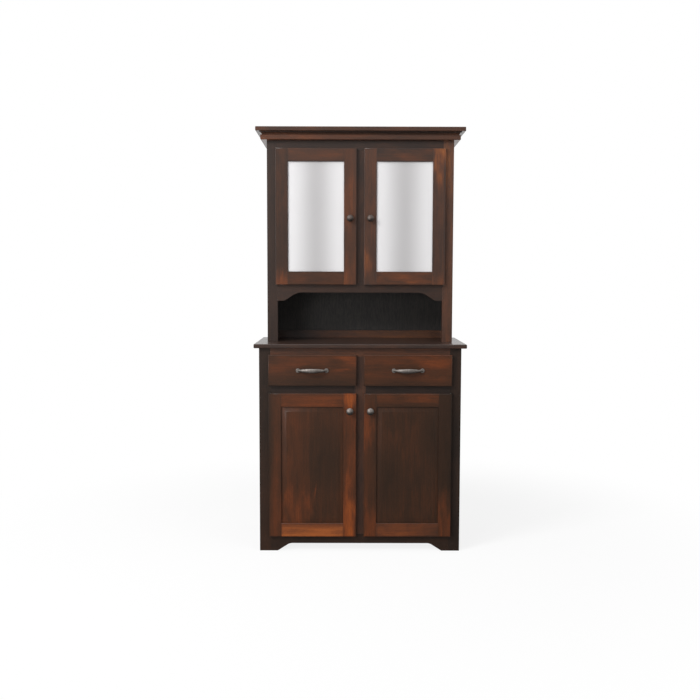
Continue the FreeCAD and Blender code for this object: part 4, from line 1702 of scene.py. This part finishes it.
@dataclass
class KeptParts:
    """The inner boards and the metalwork, which keep their meshes and take finishes."""

    stained: Wood
    clear: Wood = Wood("clear_maple", CLEAR_MAPLE, streak=0.4, pore_depth=0.15, specular=0.5)
    plywood: Wood = Wood(
        "dark_plywood", PLYWOOD_STAIN, streak=0.7, rings=0.5, coat=0.0, roughness=0.55
    )
    plated: Metal = Metal("plated_steel", (0.62, 0.63, 0.65, 1.0), (0.38, 0.39, 0.41, 1.0), 0.36)
    antique: Metal = Metal("antique_steel", (0.16, 0.14, 0.12, 1.0), (0.06, 0.05, 0.044, 1.0), 0.45)
    pewter: Metal = Metal("pewter", (0.27, 0.245, 0.228, 1.0), (0.14, 0.124, 0.114, 1.0), 0.56)
    bronzed: Metal = Metal(
        "bronzed_pewter", (0.17, 0.14, 0.125, 1.0), (0.08, 0.064, 0.057, 1.0), 0.56
    )
    first_seed: float = 3.0
    grains: dict[str, Grain] = field(
        default_factory=lambda: {
            "base_partition": Grain.Z,
            "base_back": Grain.Z,
            "hutch_back": Grain.Z,
            "sides": Grain.Y,
            "slide_spacers": Grain.Y,
            "retainers": Grain.Z,
        }
    )

    def dress(self, nodes: dict[str, Object]) -> int:
        """Give every shown node its finish.

        Args:
            nodes: The frame's nodes by name.

        Returns:
            How many nodes were dressed.
        """
        woods = {
            "stained_maple": (self.stained, Stain(0.30, stave=0.09)),
            "drawer_maple": (self.clear, Stain(0.52, stave=0.4)),
            "back_plywood": (self.plywood, Stain(0.50, stave=5.0)),
        }
        others = {
            "slide_steel": self.plated.material(),
            "hinge_steel": self.antique.material(),
            "pewter": self.pewter.material(),
            "hutch_pewter": self.bronzed.material(),
            "catch_plastic": MouldedPlastic().material(),
        }
        made: dict[tuple[str, Grain], Material] = {}
        shown = {name: node for name, node in nodes.items() if not node.hide_render}
        for name, node in shown.items():
            slot = node.data.materials[0].name
            if slot in woods:
                key = slot, self.grain_of(name)
                if key not in made:
                    wood, stain = woods[slot]
                    made[key] = wood.for_node(key[1], stain, self.first_seed + len(made))
                material = made[key]
            elif slot == "pewter" and name.startswith("hutch_door"):
                material = others["hutch_pewter"]
            else:
                material = others[slot]
            for place in node.material_slots:
                place.material = material
            LOG.info("%s keeps its mesh, in %s", name, material.name)
        return len(shown)

    def grain_of(self, name: str) -> Grain:
        """The grain of a kept board.

        Args:
            name: Its node's name.

        Returns:
            The axis that its grain runs along.
        """
        return next(
            (grain for ending, grain in self.grains.items() if name.endswith(ending)), Grain.X
        )


# ---- studio ----


@dataclass(frozen=True)
class Lamp:
    """A soft square lamp that points at the dresser."""

    name: str
    place: Triple
    size: float
    power: float

    def hang(self, target: Vector) -> None:
        """Hang the lamp.

        Args:
            target: The point that it is turned to.
        """
        place = Vector(self.place)
        turn = (target - place).to_track_quat("-Z", "Y").to_euler()
        bpy.ops.object.light_add(type="AREA", location=place, rotation=turn)
        light = bpy.context.object
        light.name = self.name
        light.data.shape = "SQUARE"
        light.data.size = self.size
        light.data.energy = self.power


@dataclass
class Studio:
    """The floor, the white surround and the lamps."""

    target: Triple = (0.0, 0.0, 1.0)
    ambient: float = 0.34
    room: Colour = (0.06, 0.06, 0.06, 1.0)
    white_ahead: Range = (-0.45, 0.25)
    white_above: Range = (-0.10, 0.40)
    floor_size: float = 60.0
    floor_colour: Colour = (0.82, 0.82, 0.82, 1.0)
    floor_roughness: float = 0.7
    grit_size: Triple = (0.01, 0.01, 0.01)
    grit_roughness: float = 0.1
    grit_height: float = 0.0002
    white_floor: Range = (0.2, 1.2)
    shadow_share: float = 0.16
    shadow_range: Range = (0.88, 2.2)
    lamps: tuple[Lamp, ...] = (
        Lamp("key", (-3.5, -3.4, 3.7), 1.8, 200.0),
        Lamp("front", (-2.6, -5.0, 1.2), 1.6, 56.0),
        Lamp("fill", (3.6, -3.6, 2.0), 3.0, 28.0),
        Lamp("top", (0.0, -1.2, 5.0), 3.0, 45.0),
    )

    def build(self) -> None:
        """Build the whole studio."""
        self.build_world()
        self.build_floor()
        for lamp in self.lamps:
            lamp.hang(Vector(self.target))

    def seen(self, graph: Graph) -> tuple[Socket, Socket]:
        """Which rays see the white surround.

        Args:
            graph: The material's or the world's graph.

        Returns:
            A mask of camera rays, and one of camera, glossy and transmission rays.
        """
        rays = graph.add("LightPath")
        mirrored = graph.math("ADD", rays["Is Glossy Ray"], rays["Is Transmission Ray"])
        both = graph.math("ADD", rays["Is Camera Ray"], mirrored, clamp=True)
        return rays["Is Camera Ray"], both

    def build_world(self) -> None:
        """White where it is looked at, a dim room behind the camera, and an even light."""
        world = bpy.data.worlds.new("studio")
        world.use_nodes = True
        world.node_tree.nodes.clear()
        graph = Graph(world.node_tree)
        camera, seen = self.seen(graph)
        _, y, z = graph.split(graph.add("TexCoord")["Generated"])
        ahead = graph.step(y, *self.white_ahead)
        above = graph.step(z, *self.white_above)
        white_share = graph.math("ADD", graph.math("MAXIMUM", ahead, above), camera, clamp=True)
        surround = graph.blend(white_share, self.room, WHITE)
        picture = graph.add("Background", {"Color": surround, "Strength": 1.0})[0]
        even = graph.add("Background", {"Color": WHITE, "Strength": self.ambient})[0]
        mixed = graph.add("MixShader", {0: seen, 1: even, 2: picture})[0]
        graph.add("OutputWorld", {"Surface": mixed})
        bpy.context.scene.world = world

    def build_floor(self) -> None:
        """A pale floor, white but for the dresser's soft shadow."""
        bpy.ops.mesh.primitive_plane_add(size=self.floor_size, location=(0.0, 0.0, 0.0))
        floor = bpy.context.object
        floor.name = "floor"
        material, graph = new_material("floor")
        place = graph.own_place()
        camera, seen = self.seen(graph)
        behind = graph.step(graph.split(place)[1], *self.white_floor)
        white_share = graph.math("MAXIMUM", behind, camera)
        surround = graph.blend(white_share, self.room, WHITE)
        white = graph.add("Emission", {"Color": surround, "Strength": 1.0})[0]
        grit = graph.noise(place, self.grit_size)
        coat = {
            "Color": self.floor_colour,
            "Roughness": graph.scaled(grit, self.grit_roughness, self.floor_roughness),
            "Normal": graph.bump(grit, self.grit_height, strength=0.2),
        }
        paint = graph.add("BsdfDiffuse", coat)[0]
        far = graph.step(graph.vector("LENGTH", place), *self.shadow_range)
        near_share = graph.scaled(far, self.shadow_share, 1.0 - self.shadow_share)
        mirrored = graph.math("SUBTRACT", 1.0, camera)
        share = graph.math("MULTIPLY", seen, graph.math("MAXIMUM", near_share, mirrored))
        mixed = graph.add("MixShader", {0: share, 1: paint, 2: white})[0]
        graph.add("OutputMaterial", {"Surface": mixed})
        floor.data.materials.append(material)


@dataclass(frozen=True)
class CameraPlace:
    """Where the camera stands, how it is turned, and its lens."""

    place: Triple = (-0.05915, -4.2497, 1.2547)
    pitch_down: float = 0.0812
    turn: float = -0.0032
    roll: float = 0.0025
    lens: float = 46.29
    sensor: float = 36.0

    def set_up(self) -> None:
        """Add the camera and make it the scene's own."""
        bpy.ops.object.camera_add(location=self.place)
        camera = bpy.context.object
        camera.name = "camera"
        aim = Euler((math.pi / 2 - self.pitch_down, 0.0, self.turn)).to_quaternion()
        camera.rotation_mode = "QUATERNION"
        camera.rotation_quaternion = aim @ Quaternion((0.0, 0.0, 1.0), self.roll)
        camera.data.lens = self.lens
        camera.data.sensor_width = self.sensor
        bpy.context.scene.camera = camera


# ---- main ----


def main() -> None:
    """Load the frame, dress the dresser in order, and set up the studio."""
    logging.basicConfig(level=logging.INFO, format="%(name)s: %(message)s")
    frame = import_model()
    stained = Wood("stained_maple")
    shop = Shop(frame["nodes"], stained.for_boards())
    assemblies = (
        BaseCabinet(shop),
        *(DrawerFront(shop, side, DRAWER_STAINS[side]) for side in Side),
        *(PanelledDoor(shop, "base", side, BASE_DOOR_STAINS[side]) for side in Side),
        HutchCabinet(shop),
        *(GlazedDoor(shop, "hutch", side, HUTCH_DOOR_STAINS[side]) for side in Side),
        Crown(shop),
    )
    for assembly in assemblies:
        assembly.build()
        LOG.info("%s built, %d pieces so far", type(assembly).__name__, shop.made)

    kept = KeptParts(stained).dress(frame["nodes"])
    LOG.info("dressed %d nodes that keep their own meshes", kept)

    Studio().build()
    CameraPlace().set_up()
    bpy.context.scene.view_settings.view_transform = "Standard"


if __name__ == "__main__":
    main()
